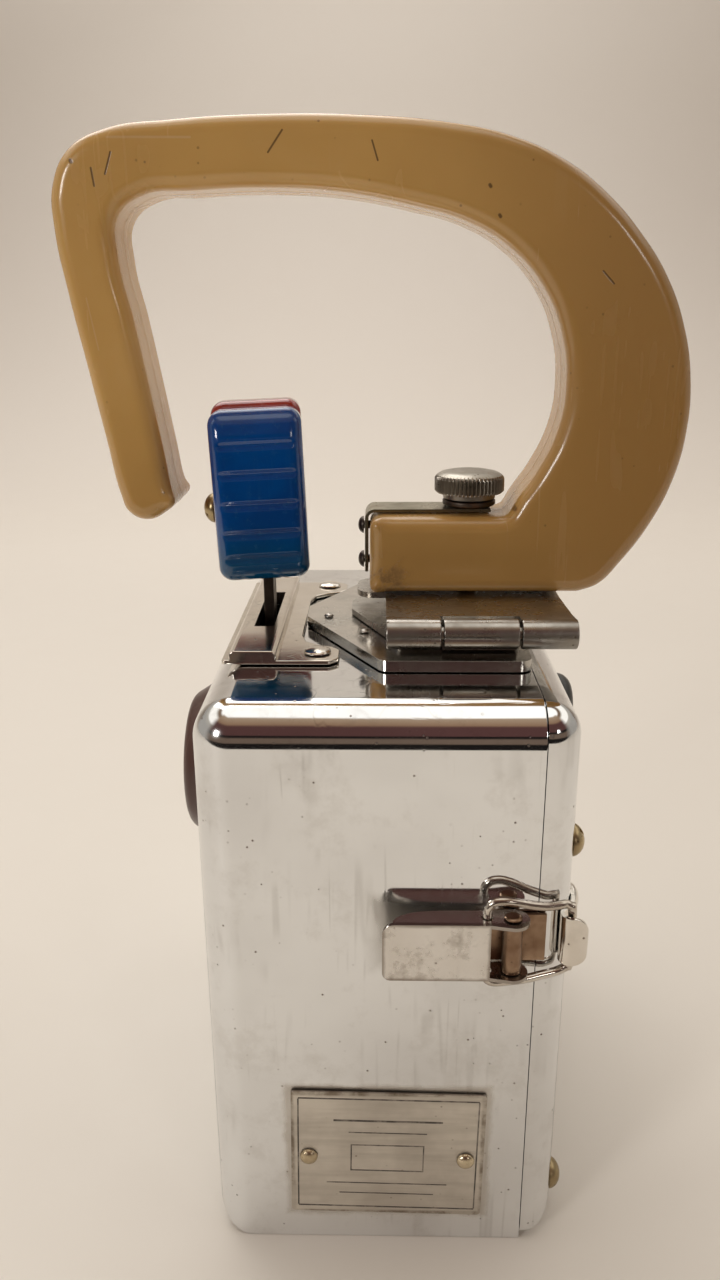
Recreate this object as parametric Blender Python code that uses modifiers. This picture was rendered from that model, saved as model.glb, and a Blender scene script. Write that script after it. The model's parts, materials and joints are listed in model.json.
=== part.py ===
"""Hand-held railway signal lamp: chromed sheet case, hinged hook handle, colour lever, hinged
battery cover with a draw latch. Modelled in metres, +Z up, origin at the centre of the base.
-X is the lens side, +X the rear cover, -Y the side that carries the latch and the nameplate."""

import math

import bmesh
import bpy
from mathutils import Euler, Matrix, Vector

MM = 0.001
GAP = 0.3  # clearance between touching pieces

# Case
CASE_FRONT, SEAM_X, REAR_X = -40.0, 32.3, 40.0
HALF_W, CASE_H = 60.0, 136.0
SHEET, EDGE_R = 1.0, 8.4
COVER_BOTTOM, COVER_R = 2.6, 6.8
# Optics, axis along X
LENS_Z = 97.7
APERTURE_R = 19.6
# Colour lever
PIVOT_Z, LEVER_X, LEVER_T = 120.0, -28.9, 2.5
SLOT_HALF, SLOT_W = 15.0, 4.8
KNOB_AT, KNOB_YAW, KNOB_LEAN = (-30.2, 165.0), 4.9, -2.1  # X at the height given, degrees
# Handle hinge, axis along X
HINGE_Y, HINGE_Z, BARREL_R, PIN_R = -33.4, 143.7, 3.35, 1.5
# Handle
HANDLE_W, FOOT_Z, FOOT_TOP = 22.0, 146.2, 164.7
HANDLE_EDGE = 3.6
THUMB_X = 20.4
# Cover hinge, axis along Z
COVER_HINGE = (33.0, 62.5)
# Latch, pivot and bail axes along Z
LATCH_Z = 85.2
LATCH_PIVOT = (26.5, -64.3)
BAIL_AT = (21.2, -64.0)
WIRE_R = 0.95
KEEPER_TURN = 50.0  # how far round the cover's edge the keeper goes before its hook, in degrees
# Switch
SWITCH_Z = 114.0

for old in list(bpy.data.objects):
    bpy.data.objects.remove(old, do_unlink=True)

PARTS = bpy.data.collections.new("railway_signal_lamp")
CUTTERS = bpy.data.collections.new("cutters")
for made in (PARTS, CUTTERS):
    bpy.context.scene.collection.children.link(made)
CUTTERS.hide_render = True


def material(name, colour, rough, metal=0.0, alpha=1.0, glass=0.0):
    mat = bpy.data.materials.new(name)
    mat.use_nodes = True
    shader = mat.node_tree.nodes["Principled BSDF"]
    shader.inputs["Base Color"].default_value = (*colour, 1.0)
    shader.inputs["Roughness"].default_value = rough
    shader.inputs["Metallic"].default_value = metal
    shader.inputs["Alpha"].default_value = alpha
    shader.inputs["Transmission Weight"].default_value = glass
    mat.diffuse_color = (*colour, alpha)
    return mat


CHROME = material("chrome", (0.80, 0.79, 0.77), 0.12, 1.0)
STEEL = material("steel", (0.42, 0.40, 0.37), 0.34, 1.0)
DARK_STEEL = material("dark_steel", (0.10, 0.085, 0.07), 0.45, 1.0)
BRASS = material("brass", (0.45, 0.36, 0.20), 0.35, 1.0)
TAN = material("tan_plastic", (0.40, 0.20, 0.055), 0.25)
BLUE = material("blue_plastic", (0.01, 0.05, 0.25), 0.2)
RED = material("red_plastic", (0.45, 0.03, 0.03), 0.25)
BLACK = material("black_plastic", (0.02, 0.02, 0.02), 0.35)
BROWN = material("bezel_brown", (0.055, 0.022, 0.016), 0.3)
RUBBER = material("rubber", (0.03, 0.03, 0.03), 0.8)
GLASS = material("glass", (0.9, 0.92, 0.92), 0.02, 0.0, 0.35, 0.9)
RED_GLASS = material("red_glass", (0.6, 0.02, 0.02), 0.05, 0.0, 0.5, 0.8)
BLUE_GLASS = material("blue_glass", (0.02, 0.12, 0.5), 0.05, 0.0, 0.5, 0.8)
PLATE = material("plate_aluminium", (0.55, 0.53, 0.48), 0.4, 1.0)
CELL = material("cell_jacket", (0.25, 0.26, 0.27), 0.45)


def place(obj, mat, cutter=False):
    (CUTTERS if cutter else PARTS).objects.link(obj)
    if cutter:
        obj.hide_render = True
        obj.display_type = "WIRE"
    else:
        obj.data.materials.clear()
        obj.data.materials.append(mat)
    return obj


def new_object(name, mesh, mat, cutter=False):
    return place(bpy.data.objects.new(name, mesh), mat, cutter)


def smooth(obj, angle=35):
    obj.data.shade_smooth()
    obj.data.set_sharp_from_angle(angle=math.radians(angle))
    return obj


def bevel(obj, width, segments=2, angle=40):
    mod = obj.modifiers.new("rounded_edges", "BEVEL")
    mod.width = width * MM
    mod.segments = segments
    mod.limit_method = "ANGLE"
    mod.angle_limit = math.radians(angle)
    mod.use_clamp_overlap = True
    return obj


def bevel_outline(obj, width, segments):
    """Rounds only the edges round the two flat faces of a piece made by sheet() or smooth_outline()."""
    mesh = obj.data
    top = max(v.co.z for v in mesh.vertices)
    weight = mesh.attributes.new("bevel_weight_edge", "FLOAT", "EDGE")
    for edge in mesh.edges:
        ends = [mesh.vertices[i].co.z for i in edge.vertices]
        flat = abs(ends[0] - ends[1]) < 1e-6 and abs(abs(ends[0]) - top) < 1e-6
        weight.data[edge.index].value = 1.0 if flat else 0.0
    mod = obj.modifiers.new("rounded_edges", "BEVEL")
    mod.width = width * MM
    mod.segments = segments
    mod.limit_method = "WEIGHT"
    mod.use_clamp_overlap = True
    return obj


def block(name, low, high, mat=None, rounding=0.0, segments=2, cutter=False):
    """A box between two corners, its object at the middle."""
    bm = bmesh.new()
    bmesh.ops.create_cube(bm, size=1.0)
    size = [(b - a) * MM for a, b in zip(low, high)]
    bmesh.ops.scale(bm, vec=size, verts=bm.verts)
    mesh = bpy.data.meshes.new(name)
    bm.to_mesh(mesh)
    bm.free()
    obj = new_object(name, mesh, mat, cutter)
    obj.location = [(a + b) / 2 * MM for a, b in zip(low, high)]
    if rounding:
        bevel(obj, rounding, segments)
    return obj


TURN = {
    "X": (0.0, math.pi / 2, 0.0),
    "-X": (0.0, -math.pi / 2, 0.0),
    "Y": (-math.pi / 2, 0.0, 0.0),
    "-Y": (math.pi / 2, 0.0, 0.0),
    "Z": (0.0, 0.0, 0.0),
}


def rod(name, centre, axis, radius, length, mat=None, sides=24, cutter=False):
    """A cylinder along X, Y or Z about its middle."""
    bm = bmesh.new()
    bmesh.ops.create_cone(
        bm,
        cap_ends=True,
        segments=sides,
        radius1=radius * MM,
        radius2=radius * MM,
        depth=length * MM,
    )
    mesh = bpy.data.meshes.new(name)
    bm.to_mesh(mesh)
    bm.free()
    obj = new_object(name, mesh, mat, cutter)
    obj.rotation_euler = TURN[axis]
    obj.location = [c * MM for c in centre]
    if not cutter:
        smooth(obj)
    return obj


def turned(name, profile, centre, axis, mat=None, steps=24, cutter=False):
    """A solid of revolution: (radius, height) points down its outer side, height along the axis."""
    mesh = bpy.data.meshes.new(name)
    count = len(profile)
    edges = [(i, i + 1) for i in range(count - 1)]
    if profile[0][0] > 0 and profile[-1][0] > 0:
        edges.append((count - 1, 0))
    mesh.from_pydata([(r * MM, 0.0, h * MM) for r, h in profile], edges, [])
    obj = new_object(name, mesh, mat, cutter)
    mod = obj.modifiers.new("turned", "SCREW")
    mod.axis = "Z"
    mod.steps = mod.render_steps = steps
    mod.use_merge_vertices = True
    mod.merge_threshold = 0.00001
    mod.use_smooth_shade = True
    obj.rotation_euler = TURN[axis]
    obj.location = [c * MM for c in centre]
    return obj


def ring_profile(inner, outer):
    """A closed profile, both sides given top to bottom: the outer side down, the inner back up."""
    return list(outer) + list(reversed(inner))


def rounded(corners, radius, steps=4):
    """A closed outline whose corners are arcs; radius is one number or one for each corner."""
    out = []
    count = len(corners)
    radii = radius if isinstance(radius, (list, tuple)) else [radius] * count
    for i, corner in enumerate(corners):
        here = Vector(corner)
        back = Vector(corners[i - 1]) - here
        ahead = Vector(corners[(i + 1) % count]) - here
        r = radii[i]
        if r <= 0:
            out.append(tuple(here))
            continue
        half = back.angle(ahead) / 2
        reach = min(r / math.tan(half), 0.49 * back.length, 0.49 * ahead.length)
        r = reach * math.tan(half)
        start, end = here + back.normalized() * reach, here + ahead.normalized() * reach
        centre = here + (back.normalized() + ahead.normalized()).normalized() * (
            r / math.sin(half)
        )
        a, b = start - centre, end - centre
        sweep = a.angle(b)
        for k in range(steps + 1):
            t = k / steps
            point = (
                math.sin((1 - t) * sweep) * a + math.sin(t * sweep) * b
            ) / math.sin(sweep)
            out.append(tuple(centre + point))
    return out


def arc(centre, radius, start, end, steps):
    """Points on an arc, angles in degrees."""
    return [
        (
            centre[0] + radius * math.cos(math.radians(start + (end - start) * k / steps)),
            centre[1] + radius * math.sin(math.radians(start + (end - start) * k / steps)),
        )
        for k in range(steps + 1)
    ]


PLANE = {
    "XY": (0.0, 0.0, 0.0),
    "XZ": (math.pi / 2, 0.0, 0.0),
    "YZ": (math.pi / 2, 0.0, math.pi / 2),
}
ACROSS = {"XY": 2, "XZ": 1, "YZ": 0}


def solid_from_curve(name, curve_obj, mat, cutter=False):
    """The curve's evaluated mesh, welded and with flat faces merged, as an object of its own."""
    bpy.context.view_layer.update()
    graph = bpy.context.evaluated_depsgraph_get()
    mesh = bpy.data.meshes.new_from_object(curve_obj.evaluated_get(graph))
    mesh.name = name
    bm = bmesh.new()
    bm.from_mesh(mesh)
    bmesh.ops.remove_doubles(bm, verts=bm.verts, dist=0.000005)
    bmesh.ops.dissolve_limit(
        bm, angle_limit=math.radians(0.5), verts=bm.verts, edges=bm.edges
    )
    bmesh.ops.recalc_face_normals(bm, faces=bm.faces)
    bm.to_mesh(mesh)
    bm.free()
    obj = bpy.data.objects.new(name, mesh)
    obj.matrix_world = curve_obj.matrix_world.copy()
    bpy.data.objects.remove(curve_obj, do_unlink=True)
    return place(obj, mat, cutter)


def sheet(name, outlines, plane, middle, thickness, mat=None, origin=(0.0, 0.0, 0.0), cutter=False):
    """A flat piece: closed outlines in a plane, given about origin, and a thickness about middle."""
    curve = bpy.data.curves.new(name, "CURVE")
    curve.dimensions = "2D"
    curve.fill_mode = "BOTH"
    curve.extrude = thickness / 2 * MM
    for outline in outlines:
        spline = curve.splines.new("POLY")
        spline.points.add(len(outline) - 1)
        for point, (x, y) in zip(spline.points, outline):
            point.co = (x * MM, y * MM, 0.0, 1.0)
        spline.use_cyclic_u = True
    obj = bpy.data.objects.new(name + "_outline", curve)
    bpy.context.scene.collection.objects.link(obj)
    obj.rotation_euler = PLANE[plane]
    spot = list(origin)
    spot[ACROSS[plane]] = middle
    obj.location = [c * MM for c in spot]
    return solid_from_curve(name, obj, mat, cutter)


def smooth_outline(name, points, plane, middle, thickness, mat, sharp=(), detail=3):
    """As sheet(), but through hand-set points with flowing handles; sharp lists the corners."""
    curve = bpy.data.curves.new(name, "CURVE")
    curve.dimensions = "2D"
    curve.fill_mode = "BOTH"
    curve.extrude = thickness / 2 * MM
    curve.resolution_u = detail
    spline = curve.splines.new("BEZIER")
    spline.bezier_points.add(len(points) - 1)
    for i, (knot, (x, y)) in enumerate(zip(spline.bezier_points, points)):
        knot.co = (x * MM, y * MM, 0.0)
        kind = "VECTOR" if i in sharp else "AUTO"
        knot.handle_left_type = knot.handle_right_type = kind
    spline.use_cyclic_u = True
    obj = bpy.data.objects.new(name + "_outline", curve)
    bpy.context.scene.collection.objects.link(obj)
    obj.rotation_euler = PLANE[plane]
    spot = [0.0, 0.0, 0.0]
    spot[ACROSS[plane]] = middle * MM
    obj.location = spot
    return solid_from_curve(name, obj, mat)


def wire(name, points, radius, mat, sides=2):
    """A round wire along POLY points."""
    curve = bpy.data.curves.new(name, "CURVE")
    curve.dimensions = "3D"
    curve.bevel_depth = radius * MM
    curve.bevel_resolution = sides
    curve.use_fill_caps = True
    spline = curve.splines.new("POLY")
    spline.points.add(len(points) - 1)
    for point, xyz in zip(spline.points, points):
        point.co = (*[c * MM for c in xyz], 1.0)
    obj = bpy.data.objects.new(name, curve)
    return place(obj, mat)


def boolean(obj, other, operation):
    mod = obj.modifiers.new(operation.lower() + "_" + other.name, "BOOLEAN")
    mod.operation = operation
    mod.solver = "EXACT"
    mod.object = other
    return obj


def cut(obj, *cutters):
    for cutter in cutters:
        boolean(obj, cutter, "DIFFERENCE")
    return obj


def join(obj, *others):
    """Union with helper solids, which stay out of the model."""
    for other in others:
        boolean(obj, other, "UNION")
    return obj


def centred(obj, point):
    """Moves an object's origin to a point without moving its shape."""
    bpy.context.view_layer.update()
    target = Vector([c * MM for c in point])
    shift = obj.matrix_world.inverted() @ target
    obj.data.transform(Matrix.Translation(-shift))
    obj.matrix_world.translation = target
    bpy.context.view_layer.update()
    return obj


def edge_along(edge, axis):
    d = edge.verts[1].co - edge.verts[0].co
    return abs(d[axis]) > 0.9 * d.length


def pan(name, low, high, open_side, rounding, keep_sharp, mat):
    """A drawn sheet-metal pan: a box open at one X face, its other edges rounded, Solidify inwards."""
    bm = bmesh.new()
    bmesh.ops.create_cube(bm, size=1.0)
    size = [(b - a) * MM for a, b in zip(low, high)]
    bmesh.ops.scale(bm, vec=size, verts=bm.verts)
    rim = [f for f in bm.faces if f.normal.x * open_side > 0.9]
    rim_edges = set(rim[0].edges)
    bmesh.ops.delete(bm, geom=rim, context="FACES_ONLY")
    chosen = [e for e in bm.edges if e not in rim_edges and not keep_sharp(e)]
    bmesh.ops.bevel(
        bm,
        geom=chosen,
        offset=rounding * MM,
        offset_type="OFFSET",
        segments=5,
        profile=0.5,
        affect="EDGES",
        clamp_overlap=False,
    )
    bmesh.ops.recalc_face_normals(bm, faces=bm.faces)
    outward = sum((f.normal.dot(f.calc_center_median()) for f in bm.faces))
    if outward < 0:
        bmesh.ops.reverse_faces(bm, faces=bm.faces)
    mesh = bpy.data.meshes.new(name)
    bm.to_mesh(mesh)
    bm.free()
    obj = new_object(name, mesh, mat)
    obj.location = [(a + b) / 2 * MM for a, b in zip(low, high)]
    mod = obj.modifiers.new("sheet_thickness", "SOLIDIFY")
    mod.thickness = SHEET * MM
    mod.offset = -1.0
    mod.use_even_offset = True
    return smooth(obj, 40)


def rivet(name, point, axis, head_r, head_h, shank_r, shank_len, mat, steps=16):
    """A rivet: low domed head with a shank behind it. The axis points out of the head."""
    top = [
        (head_r * math.sin(math.radians(a)), head_h * math.cos(math.radians(a)))
        for a in (0, 35, 65, 90)
    ]
    profile = top + [(shank_r, 0.0), (shank_r, -shank_len), (0.0, -shank_len)]
    return turned(name, profile, point, axis, mat, steps)


# ---------------------------------------------------------------- case
case_shell = pan(
    "case_shell",
    (CASE_FRONT, -HALF_W, 0.0),
    (SEAM_X, HALF_W, CASE_H),
    +1,
    EDGE_R,
    lambda e: edge_along(e, 0) and max(v.co.z for v in e.verts) < 0,
    CHROME,
)
cut(
    case_shell,
    rod("cut_lens", (CASE_FRONT, 0, LENS_Z), "X", APERTURE_R, 8, sides=32, cutter=True),
    block("cut_slot", (-32.9, -18, 130), (-25.3, 18, 142), cutter=True),
)

ear = [(-12.4, 33.3), (-10.4, 31.2), (-10.4, 25.6), (-12.2, 23.4), (-15.6, 22.0), (-18.5, 19.6), (-19.7, 15.0)]
guide_outline = (
    [(-36.6, -33.3)]
    + [(x, -y) for x, y in ear]
    + list(reversed(ear))
    + [(-36.6, 33.3)]
)
guide_plate = sheet("guide_plate", [guide_outline], "XY", 136.8, 1.0, CHROME)
channel = sheet(
    "guide_channel",
    [rounded([(-35.0, 136.5), (-24.2, 136.5), (-24.2, 139.5), (-35.0, 139.5)], [0, 0, 2.0, 2.0], 3)],
    "XZ",
    0.0,
    66.6,
    cutter=True,
)
join(guide_plate, channel)
cut(
    guide_plate,
    block(
        "cut_guide_slot",
        (LEVER_X - SLOT_W / 2, -SLOT_HALF, 134),
        (LEVER_X + SLOT_W / 2, SLOT_HALF, 142),
        cutter=True,
    ),
)
for label, y in (("near", -27.6), ("far", 29.6)):
    rivet("guide_rivet_" + label, (-15.4, y, 137.6), "Z", 3.1, 0.8, 1.1, 3.0, CHROME, 14)
    hole = rod("cut_guide_rivet_" + label, (-15.4, y, 136), "Z", 1.4, 8, sides=10, cutter=True)
    cut(guide_plate, hole)
    cut(case_shell, hole)

# ---------------------------------------------------------------- handle base and hinge
base_plate = sheet(
    "base_plate",
    [
        rounded(
            [(32.2, -37.6), (-0.8, -37.6), (-19.3, -4.4), (-19.3, 4.4), (-0.8, 37.6), (32.2, 37.6)],
            [3, 3, 2, 2, 3, 3],
            3,
        )
    ],
    "XY",
    137.55,
    2.5,
    STEEL,
)
bevel(base_plate, 0.35, 1, 60)
hinge_leaf_lower = sheet(
    "hinge_leaf_lower",
    [rounded([(30, -29), (3, -29), (0, -22), (-8.2, -3.5), (-8.2, 3.5), (0, 22), (30, 22)], 1.2, 2)],
    "XY",
    139.8,
    1.4,
    STEEL,
)
lower_knuckle = rod(
    "lower_knuckle", (21.0, HINGE_Y, HINGE_Z), "X", BARREL_R, 16.4, sides=20, cutter=True
)
lower_web = block("lower_web", (12.8, -31.4, 139.3), (29.2, -28.5, 142.4), cutter=True)
join(hinge_leaf_lower, lower_web, lower_knuckle)
pin_bore = rod("cut_hinge_pin", (21.3, HINGE_Y, HINGE_Z), "X", PIN_R + 0.25, 60, sides=14, cutter=True)
thumb_bore = rod("cut_thumb", (THUMB_X, 0, 155), "Z", 2.7, 60, sides=16, cutter=True)
cut(hinge_leaf_lower, pin_bore, thumb_bore)

leaf_side = [
    (HINGE_Y, 147.0),
    (-11.6, 145.65),
    (10.8, 145.6),
    (10.8, 144.2),
    (-29.2, 144.2),
    (HINGE_Y, 144.2),
]
hinge_leaf_upper = sheet("hinge_leaf_upper", [leaf_side], "YZ", 21.0, 41.6, STEEL)
barrel_front = rod("barrel_front", (6.2, HINGE_Y, HINGE_Z), "X", BARREL_R, 12.0, sides=20, cutter=True)
barrel_rear = rod("barrel_rear", (35.9, HINGE_Y, HINGE_Z), "X", BARREL_R, 12.2, sides=20, cutter=True)
tongue = sheet(
    "leaf_tongue",
    [rounded([(6, -7), (-6.8, -7), (-6.8, 7), (6, 7)], [0, 4.5, 4.5, 0], 4)],
    "XY",
    144.9,
    1.4,
    cutter=True,
)
knuckle_room = block("cut_knuckle_room", (12.2, -38, 139), (29.8, -29.6, 150), cutter=True)
join(hinge_leaf_upper, barrel_front, barrel_rear, tongue)
cut(hinge_leaf_upper, knuckle_room, pin_bore, thumb_bore)
centred(hinge_leaf_upper, (21.3, HINGE_Y, HINGE_Z))
handle_hinge_pin = rod(
    "handle_hinge_pin", (21.1, HINGE_Y, HINGE_Z), "X", PIN_R, 41.8, STEEL, sides=12
)
for label, x, y in (("front", -13.9, -5.0), ("side_near", -4.8, -17.6), ("side_far", -4.8, 17.6)):
    rivet("base_rivet_" + label, (x, y, 139.1), "Z", 1.2, 0.6, 0.7, 3.8, STEEL, 10)
    hole = rod("cut_base_rivet_" + label, (x, y, 136), "Z", 1.0, 9, sides=10, cutter=True)
    cut(base_plate, hole)
    cut(case_shell, hole)

# ---------------------------------------------------------------- handle
hook = [
    (-3.8, FOOT_Z + 0.9), (-2.9, FOOT_Z), (46.5, FOOT_Z), (51.4, 148.1), (56.2, 153.4), (62.4, 162.5),
    (67.1, 173.2), (69.3, 184.9), (69.0, 196.5), (66.5, 207.5), (61.8, 218.0), (55.5, 226.7),
    (48.1, 234.3), (39.0, 240.9), (26.7, 246.1), (11.8, 249.0), (-6.0, 250.4), (-26.0, 250.7),
    (-46.0, 249.8), (-59.8, 248.2), (-68.1, 244.2), (-72.2, 236.9), (-72.6, 228.1), (-70.8, 214.8),
    (-67.9, 198.7), (-65.0, 182.5), (-62.6, 169.5), (-61.2, 166.0), (-56.8, 163.9), (-51.8, 166.0),
    (-49.4, 168.6), (-50.2, 171.0), (-51.6, 179.9), (-53.7, 192.9), (-56.5, 209.5), (-58.9, 222.4),
    (-58.4, 230.4), (-52.7, 234.8), (-42.0, 235.7), (-26.0, 236.2), (-10.0, 235.3), (5.5, 232.5),
    (17.3, 229.3), (27.0, 223.9), (34.8, 215.6), (39.4, 205.5), (40.9, 194.4), (39.6, 184.6),
    (35.6, 175.6), (30.6, 168.0), (28.9, FOOT_TOP), (-1.8, FOOT_TOP), (-3.2, FOOT_TOP - 0.6),
    (-3.8, FOOT_TOP - 2.0),
]
SHARP = (0, 1, 2) + tuple(range(len(hook) - 4, len(hook)))
handle = smooth_outline(
    "handle", hook, "XZ", 0.0, HANDLE_W, TAN, sharp=SHARP, detail=2
)
bevel_outline(handle, HANDLE_EDGE, 2)
cut(handle, thumb_bore)
smooth(handle, 60)
centred(handle, (21.3, HINGE_Y, HINGE_Z))

strap_profile = rounded(
    [(-4.9, 150.3), (-4.9, 165.8), (25.4, 165.8), (25.4, 165.0), (-4.1, 165.0), (-4.1, 150.3)],
    [0.3, 2.4, 0.3, 0.3, 1.7, 0.3],
    4,
)
handle_strap = sheet("handle_strap", [strap_profile], "XZ", 0.0, 9.6, STEEL)
cut(handle_strap, thumb_bore)
for label, z in (("upper", 161.1), ("lower", 152.5)):
    rivet("strap_screw_" + label, (-5.2, 0.0, z), "-X", 2.1, 1.4, 1.0, 6.0, DARK_STEEL, 12)
    hole = rod("cut_strap_" + label, (-4.0, 0.0, z), "X", 1.3, 16.4, sides=10, cutter=True)
    cut(handle_strap, hole)
    cut(handle, hole)

thumb_washer = turned(
    "thumb_washer",
    ring_profile([(2.7, 167.6), (2.7, 166.1)], [(6.4, 167.6), (6.4, 166.1)]),
    (THUMB_X, 0, 0),
    "Z",
    DARK_STEEL,
    24,
)
KNURLS = 28
head = []
for k in range(KNURLS):
    for r, share in ((8.4, 0.0), (7.95, 0.5)):
        a = 2 * math.pi * (k + share) / KNURLS
        head.append((r * math.cos(a), r * math.sin(a)))
thumb_screw = sheet("thumb_screw", [head], "XY", 171.25, 4.1, STEEL, origin=(THUMB_X, 0, 0))
dome = turned(
    "thumb_dome",
    [(0.0, 174.5), (3.5, 174.4), (6.2, 174.1), (7.8, 173.2), (7.8, 171.0), (0.0, 171.0)],
    (THUMB_X, 0, 0),
    "Z",
    steps=20,
    cutter=True,
)
collar = turned(
    "thumb_collar",
    [(0.0, 171.0), (6.3, 171.0), (6.3, 167.9), (2.2, 167.9), (2.2, 140.4), (1.4, 139.8), (0.0, 139.8)],
    (THUMB_X, 0, 0),
    "Z",
    steps=16,
    cutter=True,
)
join(thumb_screw, dome, collar)

# ---------------------------------------------------------------- colour lever
lever_outline = (
    [(-3.2, 186.0), (-3.2, 128.0)]
    + arc((0, PIVOT_Z), 5.4, 150, 390, 10)
    + [(3.2, 128.0), (3.2, 186.0)]
)
lever_arm = sheet("lever_arm", [list(reversed(lever_outline))], "YZ", LEVER_X, LEVER_T, DARK_STEEL)
pivot_bore = rod("cut_pivot", (-28, 0, PIVOT_Z), "X", 1.8, 24, sides=16, cutter=True)
cut(lever_arm, pivot_bore)
centred(lever_arm, (LEVER_X, 0, PIVOT_Z))


def knob_half(name, low_y, high_y, top, mat):
    """One moulded half of the knob, turned a little about Z and leaning as a whole."""
    low_z, high_z = 149.5 - KNOB_AT[1], top - KNOB_AT[1]
    obj = block(name, (-10.9, low_y, low_z), (10.9, high_y, high_z), mat, rounding=3.4, segments=2)
    turned_by = Euler((0.0, math.radians(KNOB_LEAN), math.radians(KNOB_YAW)))
    middle = obj.location.copy()
    middle.rotate(turned_by)
    obj.rotation_euler = turned_by
    obj.location = Vector((KNOB_AT[0] * MM, 0.0, KNOB_AT[1] * MM)) + middle
    return obj


knob_blue = knob_half("knob_blue", -12.0, -0.15, 189.7, BLUE)
knob_red = knob_half("knob_red", 0.15, 12.0, 190.8, RED)
blade_room = block(
    "cut_blade_room",
    (LEVER_X - LEVER_T / 2 - GAP, -3.5, 140),
    (LEVER_X + LEVER_T / 2 + GAP, 3.5, 186.3),
    cutter=True,
)
cut(knob_red, blade_room)
cut(knob_blue, blade_room)
for k, z in enumerate((155.3, 161.2, 168.1, 175.3, 182.0)):
    lean_x = KNOB_AT[0] + (z - KNOB_AT[1]) * math.tan(math.radians(KNOB_LEAN))
    groove = rod("cut_groove_%d" % k, (lean_x + 1.07, -12.5, z), "X", 1.0, 30, sides=8, cutter=True)
    groove.rotation_euler = (0.0, math.pi / 2 + math.radians(KNOB_LEAN), math.radians(KNOB_YAW))
    cut(knob_blue, groove)
knob_hole = rod("cut_knob_screw", (-38, 0, 165.3), "X", 1.9, 14, sides=10, cutter=True)
cut(knob_blue, knob_hole)
cut(knob_red, knob_hole)
rivet("knob_screw", (-41.7, 0, 165.3), "-X", 3.65, 2.7, 1.6, 9.0, BRASS, 16)
for obj in (knob_blue, knob_red):
    centred(obj, (LEVER_X, 0, PIVOT_Z))

FAN_IN, FAN_OUT = 11.3, 33.4


def fan(inner, outer, middle, half, steps=6):
    """A sector window about the lever's pivot; angles in degrees from straight down."""
    down = -90.0 + middle
    return arc((0, PIVOT_Z), outer, down - half, down + half, steps) + arc(
        (0, PIVOT_Z), inner, down + half, down - half, max(2, steps // 2)
    )


fan_body = fan(5.2, FAN_OUT, 0, 45, 10)
filter_frame = sheet(
    "filter_frame",
    [fan_body] + [fan(FAN_IN + 3.5, FAN_OUT - 3.0, a, 12.0, 4) for a in (-30, 0, 30)],
    "YZ",
    -26.4,
    1.0,
    CHROME,
)
frame_hub = rod("frame_hub", (-26.4, 0, PIVOT_Z), "X", 6.4, 1.0, sides=20, cutter=True)
join(filter_frame, frame_hub)
cut(filter_frame, pivot_bore)
centred(filter_frame, (-26.4, 0, PIVOT_Z))
for label, angle, mat in (("red", -30, RED_GLASS), ("blue", 30, BLUE_GLASS)):
    pane = sheet("filter_" + label, [fan(FAN_IN + 2.6, FAN_OUT - 2.0, angle, 13.2, 4)], "YZ", -27.7, 1.0, mat)
    centred(pane, (-27.7, 0, PIVOT_Z))
lever_pivot_pin = turned(
    "lever_pivot_pin",
    [(0.0, 8.2), (1.5, 8.2), (1.5, -2.0), (3.0, -2.0), (3.0, -3.2), (0.0, -3.2)],
    (-28.4, 0, PIVOT_Z),
    "X",
    STEEL,
    16,
)
lever_bracket = block("lever_bracket", (-24.6, -9.0, 114.5), (-23.4, 9.0, 134.7), STEEL)
join(lever_bracket, block("bracket_flange", (-24.5, -9.0, 133.5), (-9.0, 9.0, 134.7), cutter=True))
cut(lever_bracket, pivot_bore)

# ---------------------------------------------------------------- lens and lamp
HOOD = CASE_FRONT - GAP
lens_bezel = turned(
    "lens_bezel",
    ring_profile(
        [(17.4, 4.3), (19.0, 4.1), (19.0, 0.0)],
        [(17.4, 6.6), (18.6, 6.9), (20.4, 6.0), (21.6, 4.9), (22.8, 3.6), (23.2, 2.4), (23.2, 0.0)],
    ),
    (HOOD, 0, LENS_Z),
    "-X",
    BROWN,
    32,
)
lens = turned(
    "lens",
    [
        (0.0, 12.6), (5.0, 12.2), (9.0, 11.2), (12.6, 9.5), (15.4, 7.4), (17.1, 5.2), (17.1, 3.9),
        (18.7, 3.8), (18.7, 0.4), (0.0, 0.4),
    ],
    (HOOD, 0, LENS_Z),
    "-X",
    GLASS,
    32,
)
lens_gasket = turned(
    "lens_gasket",
    ring_profile([(15.6, -0.4), (15.6, -2.6)], [(19.2, -0.4), (19.2, -2.6)]),
    (HOOD, 0, LENS_Z),
    "-X",
    RUBBER,
    24,
)
bulb_glass = turned(
    "bulb_glass",
    [
        (0.0, 5.5), (2.6, 4.85), (4.6, 3.0), (5.5, 0.3), (4.9, -2.6), (3.9, -5.0), (3.7, -7.0), (0.0, -7.0),
    ],
    (-18.8, 0, LENS_Z),
    "-X",
    GLASS,
    14,
)
bulb_cap = turned(
    "bulb_cap",
    [(0.0, 12.9), (4.4, 12.9), (4.7, 12.0), (4.7, 3.0), (3.0, 2.0), (1.6, 1.6), (1.4, 0.8), (0.0, 0.8)],
    (1.4, 0, LENS_Z),
    "-X",
    BRASS,
    14,
)
lamp_holder = turned(
    "lamp_holder",
    [
        (0.0, 1.6), (5.1, 1.6), (5.1, 14.0), (6.4, 14.0), (6.4, 0.4), (0.0, 0.4),
    ],
    (2.6, 0, LENS_Z),
    "-X",
    BRASS,
    16,
)
reflector = turned(
    "reflector",
    ring_profile(
        [(13.4, 22.6), (11.6, 18.2), (9.2, 14.8), (7.0, 12.6)],
        [(14.3, 22.6), (12.5, 17.8), (9.8, 14.0), (7.0, 11.6)],
    ),
    (0, 0, LENS_Z),
    "-X",
    CHROME,
    20,
)
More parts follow.
